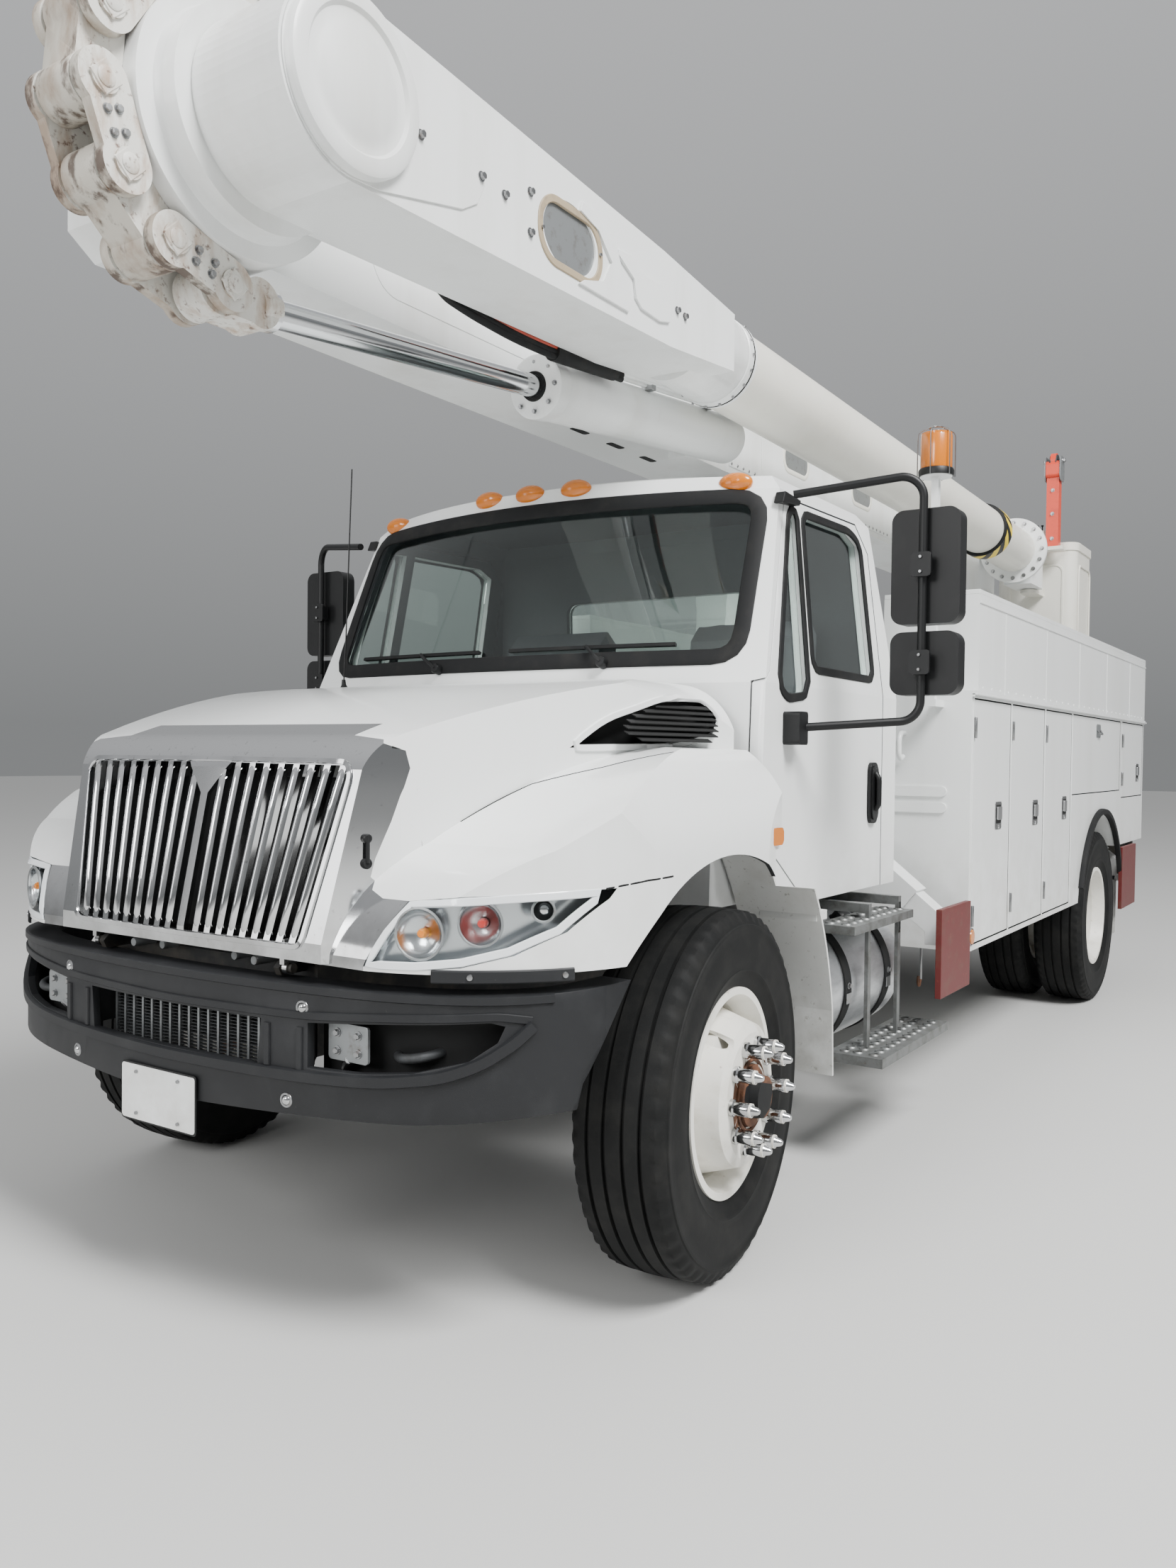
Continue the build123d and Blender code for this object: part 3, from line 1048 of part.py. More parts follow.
# Lower boom: box section from the pivot to the elbow, with ears for the lift rod and its elbow cylinder
ELBOW_SHAFT_R = 90.0
CYL_Y = 270.0
CYL_REAR = (-1600, ELBOW_Z - 120)
CYL_FRONT_X = -230.0
CYL_R = 100.0
ELBOW_ROD_R = 37.5
ELBOW_ROD_START = 1250.0
ELBOW_ROD_END = (990, ELBOW_Z - 368)
with BuildPart() as lower_boom:
    with BuildSketch(side_plane(BOOM_HIGH_Y)):
        outline([
            (fwd(1160), BOOM_LOW_Z + 60), (fwd(1080), BOOM_LOW_Z), (fwd(REAR - 616), BOOM_LOW_Z), (fwd(REAR - 1216), 2560),
            (fwd(REAR - 1316), 2520), (fwd(REAR - 1436), 2520), (fwd(REAR - 1506), 2600), (fwd(REAR - 1506), 3000),
            (fwd(REAR - 1336), BOOM_HIGH_Z), (fwd(1080), BOOM_HIGH_Z), (fwd(1160), BOOM_HIGH_Z - 60),
        ])
    extrude(amount=BOOM_HIGH_Y - BOOM_LOW_Y)
    with BuildSketch(side_plane(BOOM_HIGH_Y)):
        with Locations((LOWER_PIVOT_X, LOWER_PIVOT_Z)):
            Circle(PIVOT_PIN_R + SHAFT_GAP)
        with Locations((ELBOW_X, ELBOW_Z)):
            Circle(ELBOW_SHAFT_R + SHAFT_GAP)
    extrude(amount=BOOM_HIGH_Y - BOOM_LOW_Y, mode=Mode.SUBTRACT)
    with BuildSketch(side_plane(LIFT_Y + 90)):
        outline([
            (fwd(REAR - 696), BOOM_LOW_Z + 100), (fwd(REAR - 776), 2500), (fwd(REAR - 1076), 2480), (fwd(REAR - 1296), 2700),
            (fwd(REAR - 1136), BOOM_LOW_Z + 200),
        ])
    extrude(amount=180, mode=Mode.SUBTRACT)
    for ear_y in (LIFT_Y + 90, LIFT_Y - 55):
        with BuildSketch(side_plane(ear_y)):
            outline([
                (fwd(REAR - 696), BOOM_LOW_Z + 101), (fwd(REAR - 796), 2560), (fwd(REAR - 856), 2520), (fwd(REAR - 936), 2520),
                (fwd(REAR - 1006), 2570), (fwd(REAR - 1297), 2700), (fwd(REAR - 1137), BOOM_LOW_Z + 201),
            ])
        extrude(amount=35)
    cylinder_plane = Plane((fwd(CYL_REAR[0]), CYL_Y, CYL_REAR[1]),
                           z_dir=(ELBOW_ROD_END[0] - CYL_REAR[0], 0, ELBOW_ROD_END[1] - CYL_REAR[1]))
    barrel_length = hypot(CYL_FRONT_X - CYL_REAR[0], 140)
    with BuildSketch(cylinder_plane):
        Circle(CYL_R)
    extrude(amount=barrel_length)
    for bracket_x in (-420, -1380):
        with BuildSketch(side_plane(CYL_Y)):
            with Locations((fwd(bracket_x), CYL_REAR[1] - 60)):
                Rectangle(70, 110)
        extrude(amount=CYL_Y - BOOM_HIGH_Y)
    with BuildSketch(cylinder_plane.offset(60)):
        Circle(ELBOW_ROD_R + SHAFT_GAP)
    extrude(amount=barrel_length, mode=Mode.SUBTRACT)
save(lower_boom.part, "lower_boom")

rod_length = hypot(ELBOW_ROD_END[0] - CYL_REAR[0], ELBOW_ROD_END[1] - CYL_REAR[1])
CHAIN_PITCH_R = 375.0
LINK_R = 62.0
LINK_COUNT = 7
LINK_ANGLE = 26.2
INNER_LINK_Y = (205.0, 325.0)
OUTER_LINK_Y = ((165.0, 195.0), (330.0, 360.0))
with BuildPart() as elbow_rod:
    with BuildSketch(cylinder_plane.offset(ELBOW_ROD_START)):
        Circle(ELBOW_ROD_R)
    extrude(amount=rod_length - ELBOW_ROD_START - 40)
    with BuildSketch(cylinder_plane.offset(rod_length - 70)):
        Circle(52)
    extrude(amount=60)


def pin_at(link):
    """Place of the chain's pin number link, counted from below the drum round the front to the top."""
    angle = radians(-90 + 4 + link * LINK_ANGLE)
    return ELBOW_X + CHAIN_PITCH_R * cos(angle), ELBOW_Z + CHAIN_PITCH_R * sin(angle)


def link_plate(first, y_high, y_low):
    """Rounded plate of the chain from pin first to the next."""
    (x0, z0), (x1, z1) = pin_at(first), pin_at(first + 1)
    across_x = (z1 - z0) / hypot(x1 - x0, z1 - z0)
    across_z = (x0 - x1) / hypot(x1 - x0, z1 - z0)
    with BuildPart() as plate:
        with BuildSketch(side_plane(y_high)):
            with Locations((x0, z0), (x1, z1)):
                Circle(LINK_R)
            outline([
                (x + reach * LINK_R * across_x, z + reach * LINK_R * across_z)
                for x, z, reach in ((x0, z0, 0.8), (x1, z1, 0.8), (x1, z1, -1), (x0, z0, -1))
            ])
        extrude(amount=y_high - y_low)
    return plate.part


rod_eye = Vector(fwd(ELBOW_ROD_END[0]), 0, ELBOW_ROD_END[1])
with BuildPart() as rod_link:
    with BuildSketch(side_plane(INNER_LINK_Y[1] - 10)):
        with Locations((rod_eye.X, rod_eye.Z), pin_at(0)):
            Circle(LINK_R)
        with Locations(((rod_eye.X + pin_at(0)[0]) / 2, (rod_eye.Z + pin_at(0)[1]) / 2)):
            Rectangle(pin_at(0)[0] - rod_eye.X, 1.7 * LINK_R)
    extrude(amount=INNER_LINK_Y[1] - INNER_LINK_Y[0] - 20)
save(elbow_rod.part + rod_link.part, "elbow_rod")

chain = Part()
for link in range(LINK_COUNT):
    if link % 2 == 0:
        for low, high in OUTER_LINK_Y:
            chain += link_plate(link, high, low)
    else:
        chain += link_plate(link, INNER_LINK_Y[1], INNER_LINK_Y[0])
for link in range(LINK_COUNT + 1):
    pin_x, pin_z = pin_at(link)
    length = OUTER_LINK_Y[1][1] - OUTER_LINK_Y[0][0]
    pin = Pos(pin_x, OUTER_LINK_Y[0][0] + length / 2, pin_z) * Rot(90, 0, 0) * Cylinder(34, length + 12)
    if link == 0:
        pin -= Pos(pin_x, (INNER_LINK_Y[0] + INNER_LINK_Y[1]) / 2, pin_z) * Box(
            100, INNER_LINK_Y[1] - INNER_LINK_Y[0], 100)
    chain += pin
save(chain, "elbow_chain")

# Upper boom: elbow drum and housing, tapered weldment, and the tip past the tube
DRUM_R = CHAIN_PITCH_R * cos(radians(LINK_ANGLE / 2)) - LINK_R - SEAT_GAP
UPPER_LOW_Y = 420.0
UPPER_HIGH_Y = 720.0
HOUSING_R = 210.0
TUBE_R = 153.0
TUBE_START = Vector(fwd(-1000), 520, ELBOW_Z + 10)
TUBE_END = Vector(fwd(REAR - 1086), 384, ELBOW_Z + 40)
tube_axis = (TUBE_END - TUBE_START).normalized()
with BuildPart() as upper_boom:
    with BuildSketch(side_plane(BOOM_LOW_Y)):
        with Locations((ELBOW_X, ELBOW_Z)):
            Circle(ELBOW_SHAFT_R)
    extrude(amount=-(BOOM_HIGH_Y + MOVING_GAP - BOOM_LOW_Y + 1))
    with BuildSketch(side_plane(BOOM_HIGH_Y + MOVING_GAP)):
        with Locations((ELBOW_X, ELBOW_Z)):
            Circle(DRUM_R)
    extrude(amount=-(372 - BOOM_HIGH_Y - MOVING_GAP))
    with BuildSketch(side_plane(371)):
        with Locations((ELBOW_X, ELBOW_Z)):
            Circle(255)
    extrude(amount=-(UPPER_LOW_Y + 20 - 371))
    with BuildSketch(side_plane(UPPER_LOW_Y)):
        with BuildLine():
            nose = ThreePointArc(
                (ELBOW_X, ELBOW_Z - HOUSING_R), (ELBOW_X + HOUSING_R, ELBOW_Z), (ELBOW_X, ELBOW_Z + HOUSING_R)
            )
            top = Line(nose @ 1, (fwd(-300), ELBOW_Z + 127))
            top_rear = Line(top @ 1, (fwd(-800), ELBOW_Z + 80))
            rear = Line(top_rear @ 1, (fwd(-800), ELBOW_Z - 120))
            bottom_rear = Line(rear @ 1, (fwd(-357), ELBOW_Z - 162))
            Line(bottom_rear @ 1, nose @ 0)
        make_face()
    extrude(amount=UPPER_LOW_Y - UPPER_HIGH_Y)
    with BuildSketch(side_plane(UPPER_HIGH_Y)):
        with Locations((ELBOW_X, ELBOW_Z)):
            Circle(200)
    extrude(amount=-20)
    with BuildSketch(side_plane(UPPER_HIGH_Y)):
        with Locations((fwd(226), ELBOW_Z - 25)):
            Ellipse(131, 98)
    extrude(amount=10, mode=Mode.SUBTRACT)
    with BuildSketch(Plane(TUBE_START - tube_axis * 330, z_dir=tube_axis)):
        Circle(TUBE_R + 8)
    extrude(amount=330)
with BuildPart() as boom_tube:
    with BuildSketch(Plane(TUBE_START + tube_axis * SEAT_GAP, z_dir=tube_axis)):
        Circle(TUBE_R)
    extrude(amount=(TUBE_END - TUBE_START).length - 2 * SEAT_GAP)
save(boom_tube.part, "boom_tube")

SWING_X = fwd(REAR - 1716)
SWING_Y = 345.0
SHAFT_R = 45.0
with BuildPart() as boom_tip:
    with BuildSketch(Plane(TUBE_END, z_dir=tube_axis)):
        Circle(232)
    extrude(amount=34)
    with BuildSketch(Plane(TUBE_END + tube_axis * 30, z_dir=tube_axis)):
        Circle(TUBE_R)
    extrude(amount=300)
    with BuildSketch(Plane.YZ.offset(fwd(REAR - 1376))):
        with Locations((SWING_Y, TIP_Z)):
            Rectangle(200, 300)
    extrude(amount=-340)
    with BuildSketch(Plane.XY.offset(TIP_Z - 150)):
        with Locations((SWING_X, SWING_Y)):
            Circle(100)
    extrude(amount=300)
    with BuildSketch(Plane.XY.offset(TIP_Z - 250)):
        with Locations((SWING_X, SWING_Y)):
            Circle(SHAFT_R + SHAFT_GAP)
    extrude(amount=500, mode=Mode.SUBTRACT)
save(upper_boom.part + boom_tip.part, "upper_boom")

# Bucket: open-topped tub with a rim, and the bracket and shaft that carry it
BUCKET_SIZE = 610.0
BUCKET_HIGH = 900.0
BUCKET_WALL = 14.0
BUCKET_X = fwd(REAR - 2241)
BUCKET_LOW_Z = 2280.0
with BuildPart() as bucket:
    with BuildSketch(Plane.XY.offset(BUCKET_LOW_Z)):
        with Locations((BUCKET_X, SWING_Y)):
            RectangleRounded(BUCKET_SIZE - 20, BUCKET_SIZE - 20, 90)
    extrude(amount=BUCKET_HIGH)
    with BuildSketch(Plane.XY.offset(BUCKET_LOW_Z + BUCKET_HIGH - 60)):
        with Locations((BUCKET_X, SWING_Y)):
            RectangleRounded(BUCKET_SIZE, BUCKET_SIZE, 98)
    extrude(amount=60)
    with BuildSketch(Plane.XY.offset(BUCKET_LOW_Z + BUCKET_WALL)):
        with Locations((BUCKET_X, SWING_Y)):
            RectangleRounded(BUCKET_SIZE - 20 - 2 * BUCKET_WALL, BUCKET_SIZE - 20 - 2 * BUCKET_WALL, 76)
    extrude(amount=BUCKET_HIGH, mode=Mode.SUBTRACT)
    with BuildSketch(Plane.XY.offset(TIP_Z - 181)):
        with Locations((SWING_X, SWING_Y)):
            Circle(60)
        with Locations(((SWING_X + BUCKET_X + 290) / 2, SWING_Y)):
            Rectangle(SWING_X - BUCKET_X - 290, 120)
    extrude(amount=25)
    with BuildSketch(Plane.XY.offset(TIP_Z + 155)):
        with Locations((SWING_X, SWING_Y)):
            Circle(60)
        with Locations(((SWING_X + BUCKET_X + 290) / 2, SWING_Y)):
            Rectangle(SWING_X - BUCKET_X - 290, 120)
    extrude(amount=25)
    with BuildSketch(Plane.XY.offset(TIP_Z - 170)):
        with Locations((SWING_X, SWING_Y)):
            Circle(SHAFT_R)
    extrude(amount=330)
    with BuildSketch(Plane.XY.offset(TIP_Z + 180)):
        with Locations((fwd(REAR - 1826), 495)):
            Rectangle(100, 160)
        with Locations((fwd(REAR - 1826), 450)):
            Rectangle(100, 200)
    extrude(amount=-26)
save(bucket.part, "bucket")

JIB_X = fwd(REAR - 1826)
JIB_Y = 495.0
with BuildPart() as jib:
    with BuildSketch(Plane.XY.offset(TIP_Z + 180 + SEAT_GAP)):
        with Locations((JIB_X, JIB_Y)):
            Rectangle(90, 90)
    extrude(amount=540)
    with BuildSketch(side_plane(JIB_Y + 50)):
        with Locations((JIB_X, TIP_Z + 770)):
            RectangleRounded(130, 130, 30)
    extrude(amount=100)
    with BuildSketch(side_plane(JIB_Y + 20)):
        with Locations((JIB_X, TIP_Z + 840)):
            Circle(60)
    extrude(amount=40)
save(jib.part, "jib")

# Lamps: five roof lamps and the beacon
ROOF_LAMPS = [(-568, 0, 2444), (-578, 199, 2444), (-578, -199, 2444), (-705, 780, 2424), (-705, -780, 2424)]
lamps = Part()
for lamp_x, lamp_y, lamp_z in ROOF_LAMPS:
    lamps += Pos(fwd(lamp_x), lamp_y, lamp_z) * Rot(0, 25, 0) * scale(Sphere(50), by=(0.7, 1.3, 0.75))
lamps = lamps - cab_form(-SEAT_GAP)
lamps += Pos(fwd(BEACON[0]), BEACON[1], BEACON[2] + 75) * Cylinder(63, 150)
save(lamps, "amber_lamps")
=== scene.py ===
"""Finishes and trim of the cherry picker truck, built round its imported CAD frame."""

import math

import bmesh
import bpy
from mathutils import Matrix, Vector
from mathutils.bvhtree import BVHTree


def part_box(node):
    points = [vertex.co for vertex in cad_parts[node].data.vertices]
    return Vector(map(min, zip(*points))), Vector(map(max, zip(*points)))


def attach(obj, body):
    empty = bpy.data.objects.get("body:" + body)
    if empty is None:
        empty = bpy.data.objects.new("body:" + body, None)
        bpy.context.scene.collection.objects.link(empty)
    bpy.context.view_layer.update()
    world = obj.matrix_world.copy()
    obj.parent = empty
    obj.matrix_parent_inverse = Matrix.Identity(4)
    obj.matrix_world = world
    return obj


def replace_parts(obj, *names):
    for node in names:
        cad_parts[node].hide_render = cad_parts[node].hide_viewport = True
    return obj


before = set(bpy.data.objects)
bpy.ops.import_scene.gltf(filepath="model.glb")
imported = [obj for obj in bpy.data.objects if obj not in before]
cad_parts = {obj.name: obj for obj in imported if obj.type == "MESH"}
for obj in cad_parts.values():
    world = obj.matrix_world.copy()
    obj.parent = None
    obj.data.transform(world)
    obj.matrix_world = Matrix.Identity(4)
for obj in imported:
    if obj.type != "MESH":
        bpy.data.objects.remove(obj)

bl_info = {
    "name": "Cherry picker truck",
    "version": (1, 0, 0),
    "blender": (4, 5, 0),
    "location": "View3D > Sidebar > Truck",
    "description": "Dresses the packed truck with its finishes, tyres, trim and studio stage",
    "category": "Object",
}

# Millimetres: the trim is placed from the front axle, with x ahead, y to the left and z up
MM = 0.001
AXLE_X = 2940.0
REAR_X = -4864
TYRE_RADIUS = 522
STUD_CIRCLE = 142.9
KINGPIN_Y = 930.0
STEER_REST = math.radians(4.85)
BODY_FRONT, BODY_REAR, BODY_Y = -2057, -6401, 1219
TOP_BOX_Y = 1213
MIRROR_Y = 1395
ELBOW_X, ELBOW_Z = 1090, 2965
# A ray that looks for a surface starts this far ahead of the axle, or this far to the side
OUTSIDE = 1300
X = Vector((1, 0, 0))
Y = Vector((0, 1, 0))
Z = Vector((0, 0, 1))
SIDES = ((1, "left"), (-1, "right"))
CAB_DOORS = {"left": "driver_door", "right": "passenger_door"}


def at(x, y, z):
    """A point of the frame, in metres, from millimetres ahead of the front axle."""
    return Vector(((x + AXLE_X) * MM, y * MM, z * MM))


def line(*corners, side=1):
    """Points of the frame from corners in millimetres, mirrored to the right for side -1."""
    return [at(x, side * y, z) for x, y, z in corners]


def on_front(outline, x, side=1):
    """Points from pairs of y and z, all so many millimetres ahead of the axle."""
    return [at(x, side * y, z) for y, z in outline]


def on_side(outline, y, side=1):
    """Points from pairs of x and z, all so many millimetres out to one side."""
    return [at(x, side * y, z) for x, z in outline]


def circle(count, offset=0.0):
    """Angles spaced evenly round a circle, turned on by a share of a step."""
    return [math.tau * (k + offset) / count for k in range(count)]


def arc(*degrees):
    """Angles in radians from a range of whole degrees."""
    return [math.radians(v) for v in range(*degrees)]


def on_circle(x, z, radius, angles):
    """Pairs of x and z round a middle."""
    return [(x + radius * math.cos(a), z + radius * math.sin(a)) for a in angles]


def named(names):
    """The node names in a row of words, where a star stands for the left and the right one."""
    found = []
    for name in names.split():
        found += [name.replace("*", label) for _, label in SIDES] if "*" in name else [name]
    return found


def linear(hex_colour):
    """An sRGB hex colour as linear red, green and blue."""
    parts = [int(hex_colour[i:i + 2], 16) / 255 for i in (1, 3, 5)]
    return tuple(c / 12.92 if c <= 0.04045 else ((c + 0.055) / 1.055) ** 2.4 for c in parts)


class TruckColours(bpy.types.PropertyGroup):
    """Colours that an owner would change."""

    paint: bpy.props.FloatVectorProperty(
        name="Body paint", description="Cab, hood, boom and utility body", subtype="COLOR", size=3,
        min=0, max=1, default=linear("#E9EBEA"))
    wheels: bpy.props.FloatVectorProperty(
        name="Wheel paint", description="Disc wheels", subtype="COLOR", size=3,
        min=0, max=1, default=linear("#E4E2DA"))
    pads: bpy.props.FloatVectorProperty(
        name="Outrigger pads", description="Shoes at the ends of the legs", subtype="COLOR", size=3,
        min=0, max=1, default=linear("#5C1D1B"))
    jib: bpy.props.FloatVectorProperty(
        name="Lifting jib", description="Jib beside the bucket", subtype="COLOR", size=3,
        min=0, max=1, default=linear("#D8452B"))
    lamps: bpy.props.FloatVectorProperty(
        name="Amber lamps", description="Roof lamps, beacon and markers", subtype="COLOR", size=3,
        min=0, max=1, default=linear("#E8850F"))
    hazard: bpy.props.FloatVectorProperty(
        name="Hazard stripes", description="Light stripes of the ring on the boom", subtype="COLOR", size=3,
        min=0, max=1, default=linear("#F0D21E"))


class TruckSizes(bpy.types.PropertyGroup):
    """Sizes of the trim, in scene units."""

    tread_depth: bpy.props.FloatProperty(
        name="Tread depth", description="Depth of the tyre grooves", unit="LENGTH",
        min=0.003, max=0.02, default=0.011)
    cover_length: bpy.props.FloatProperty(
        name="Lug cover length", description="Front wheel nut covers", unit="LENGTH",
        min=0.065, max=0.11, default=0.084)
    gasket_width: bpy.props.FloatProperty(
        name="Gasket width", description="Rubber round the windshield", unit="LENGTH",
        min=0.02, max=0.09, default=0.056)
    antenna_length: bpy.props.FloatProperty(
        name="Antenna length", description="Whip on the right of the cowl", unit="LENGTH",
        min=0.3, max=1.1, default=0.86)
    hose_diameter: bpy.props.FloatProperty(
        name="Hose diameter", description="Hydraulic hoses at the elbow", unit="LENGTH",
        min=0.012, max=0.04, default=0.024)


FINISHES = {}


def node(tree, kind, inputs=(), **settings):
    """Adds a shader node with its settings; an input is a value or another node's socket."""
    made = tree.nodes.new(kind)
    for key, value in settings.items():
        setattr(made, key, value)
    for key, value in dict(inputs).items():
        if isinstance(value, bpy.types.NodeSocket):
            tree.links.new(value, made.inputs[key])
        else:
            made.inputs[key].default_value = value
    return made


def rgba(colour):
    """A colour as four numbers, from hex or from linear red, green and blue."""
    return (*(linear(colour) if isinstance(colour, str) else colour), 1.0)


# How soil is drawn out along the axes: even all round, in long runs down the side, in short runs
ALL = (1, 1, 1)
RUNS = (1, 1, 0.12)
SHORT_RUNS = (1, 1, 0.35)


def patches(tree, coords, size, low, high, most, stretch=ALL):
    """A factor from 0 to most in patches of about size metres; stretch squeezes it along an axis."""
    scaled = node(tree, "ShaderNodeMapping", {"Vector": coords, "Scale": stretch})
    noise = node(tree, "ShaderNodeTexNoise", {
        "Vector": scaled.outputs["Vector"], "Scale": 1 / size, "Detail": 6.0, "Roughness": 0.62})
    return node(tree, "ShaderNodeMapRange", {
        "Value": noise.outputs["Fac"], "From Min": low, "From Max": high, "To Min": 0.0, "To Max": most,
    }).outputs["Result"]


def blend(tree, factor, under, over):
    """Two colours mixed by a factor; under is a colour or a socket."""
    # Sockets of the mix node: 0 is the factor, 6 and 7 are the colours
    mixed = node(tree, "ShaderNodeMix", {0: factor, 6: under, 7: over}, data_type="RGBA")
    return mixed.outputs[2]


def finish(name, colour, roughness, metallic=0.0, soil=(), grain=None, low_soil=None, **sockets):
    """A finish: base colour, soil layers of (colour, size, low, high, most, stretch) and a grain."""
    made = bpy.data.materials.new(name)
    made.use_nodes = True
    tree = made.node_tree
    shader = tree.nodes["Principled BSDF"]
    shader.inputs["Roughness"].default_value = roughness
    shader.inputs["Metallic"].default_value = metallic
    for key, value in sockets.items():
        shader.inputs[key.replace("_", " ").title().replace("Ior", "IOR")].default_value = value
    coords = node(tree, "ShaderNodeTexCoord").outputs["Object"]
    base = rgba(colour)
    for soil_colour, size, low, high, most, stretch in soil:
        factor = patches(tree, coords, size, low, high, most, stretch)
        base = blend(tree, factor, base, rgba(soil_colour))
    if low_soil:
        soil_colour, bottom, top, most = low_soil
        height = node(tree, "ShaderNodeSeparateXYZ", {"Vector": coords}).outputs["Z"]
        rise = node(tree, "ShaderNodeMapRange", {
            "Value": height, "From Min": top, "From Max": bottom, "To Min": 0.0, "To Max": most})
        speckle = patches(tree, coords, 0.12, 0.35, 0.65, 1.0)
        both = node(tree, "ShaderNodeMath", {0: rise.outputs["Result"], 1: speckle}, operation="MULTIPLY")
        base = blend(tree, both.outputs[0], base, rgba(soil_colour))
    if isinstance(base, tuple):
        shader.inputs["Base Color"].default_value = base
    else:
        tree.links.new(base, shader.inputs["Base Color"])
    if grain:
        size, depth = grain
        noise = node(tree, "ShaderNodeTexNoise", {"Vector": coords, "Scale": 1 / size, "Detail": 3.0})
        bump = node(tree, "ShaderNodeBump", {
            "Height": noise.outputs["Fac"], "Strength": 0.5, "Distance": depth})
        tree.links.new(bump.outputs["Normal"], shader.inputs["Normal"])
    FINISHES[name] = made
    return made


def let_light_through(name):
    """Makes a clear finish cast no shadow, so that daylight reaches what lies behind it."""
    tree = FINISHES[name].node_tree
    seen = tree.nodes["Principled BSDF"].outputs["BSDF"]
    shadow = node(tree, "ShaderNodeLightPath").outputs["Is Shadow Ray"]
    clear = node(tree, "ShaderNodeBsdfTransparent").outputs["BSDF"]
    both = node(tree, "ShaderNodeMixShader", {0: shadow, 1: seen, 2: clear})
    tree.links.new(both.outputs["Shader"], tree.nodes["Material Output"].inputs["Surface"])


def make_painted_and_moulded(colours):
    """Paint, plastic, rubber and bare metal."""
    # White two-pack enamel under road film: bright, a little greyer low down, faint runs of grime
    finish("enamel", colours.paint, 0.3, soil=[
        ("#B9B7AE", 0.6, 0.5, 0.85, 0.35, RUNS), ("#8E8A80", 0.02, 0.68, 0.8, 0.3, ALL)],
        low_soil=("#A39D90", 0.4, 1.3, 0.45), coat_weight=0.35, coat_roughness=0.08)
    # Boom enamel, older: flat white with grey runs and rust bleeding from the joints
    finish("boom_enamel", colours.paint, 0.38, soil=[
        ("#B5B1A6", 0.35, 0.5, 0.8, 0.4, RUNS), ("#9A6A42", 0.05, 0.7, 0.8, 0.4, RUNS)],
        coat_weight=0.2, coat_roughness=0.12)
    # Gel coat on glass fibre: creamier and softer in its shine than the steel
    finish("gel_coat", "#E6E4DA", 0.42, soil=[("#BDB8A8", 0.5, 0.5, 0.8, 0.3, ALL)], coat_weight=0.15)
    # Chassis black: thin satin paint under dry road dust
    finish("chassis", "#1B1C1D", 0.55, soil=[("#5B554B", 0.12, 0.45, 0.75, 0.6, ALL)])
    # Moulded bumper: grained charcoal plastic, chalky where the sun reaches
    finish("moulding", "#1B1C1E", 0.52, soil=[
        ("#353637", 0.25, 0.5, 0.75, 0.4, ALL), ("#5C5B58", 0.015, 0.68, 0.78, 0.3, ALL)],
        grain=(0.0015, 0.0006), specular_ior_level=0.35)
    # Cast engine parts: matt grey iron, oily in patches
    finish("casting", "#4A4C4E", 0.6, 0.5, soil=[
        ("#1C1A17", 0.08, 0.45, 0.7, 0.7, ALL)], grain=(0.004, 0.001))
    # Cab trim: dark grey vinyl and hard plastic, evenly dull
    finish("cab_trim", "#505255", 0.65, grain=(0.002, 0.0004))
    # Chrome plate: mirror bright, pitted and hazed near the bottom
    finish("chrome", "#D6D7D8", 0.09, 1.0, soil=[("#8C8A86", 0.02, 0.62, 0.75, 0.5, ALL)],
           low_soil=("#77756F", 0.95, 1.15, 0.5))
    # Fuel tank: rolled aluminium, cloudy with oxide
    finish("aluminium", "#DDDFE1", 0.42, 1.0, soil=[
        ("#8F9295", 0.06, 0.4, 0.7, 0.6, (0.3, 1, 1)), ("#6E7073", 0.012, 0.62, 0.75, 0.4, ALL)],
        grain=(0.02, 0.0012))
    # Bolts and pins: zinc plated steel with specks of rust
    finish("steel", "#9A9B9C", 0.32, 1.0, soil=[("#6B4A33", 0.015, 0.55, 0.75, 0.5, ALL)])
    # Rubber parts: near black and dull, greyed by dust
    finish("rubber", "#0F1011", 0.7, soil=[("#383631", 0.1, 0.5, 0.8, 0.3, ALL)], specular_ior_level=0.3)
    # Tyre rubber: matt, with dust in the grooves
    finish("tyre", "#0C0D0D", 0.72, soil=[
        ("#2E2D2A", 0.09, 0.45, 0.75, 0.3, ALL)], grain=(0.004, 0.0006), specular_ior_level=0.25)
    # Mirror heads, louvres and handles: grained black plastic
    finish("black_plastic", "#0C0D0E", 0.45, soil=[("#2A2A29", 0.15, 0.55, 0.8, 0.25, ALL)],
           grain=(0.0015, 0.0003), specular_ior_level=0.35)


def make_glass_and_lamps(colours):
    """Clear and coloured finishes that let light through, and the mirrors."""
    # Laminated glass with a faint green tint
    finish("glass", "#DDE8E4", 0.02, transmission_weight=1.0, ior=1.5)
    let_light_through("glass")
    # Lamp cover: the solid stands for a thin clear shell, so it hardly bends the light
    finish("lens", "#F2F5F5", 0.03, transmission_weight=1.0, ior=1.12)
    let_light_through("lens")
    # Rim of the lamp cover: thick clear plastic, painted an opaque near-white as a painted sheen, so that it
    # looks milky from the front
    finish("lamp_rim_painted_sheen", "#E4E8EA", 0.12, coat_weight=0.6)
    # Amber plastic of the roof lamps and the beacon
    finish("amber", colours.lamps, 0.22, transmission_weight=0.35, ior=1.49, coat_weight=0.5)
    # Red lamp plastic
    finish("red_lens", "#9C2A22", 0.25, ior=1.49, coat_weight=0.5)
    # Mirror face: silvered glass
    finish("mirror_glass", "#DDE2E4", 0.03, 1.0)


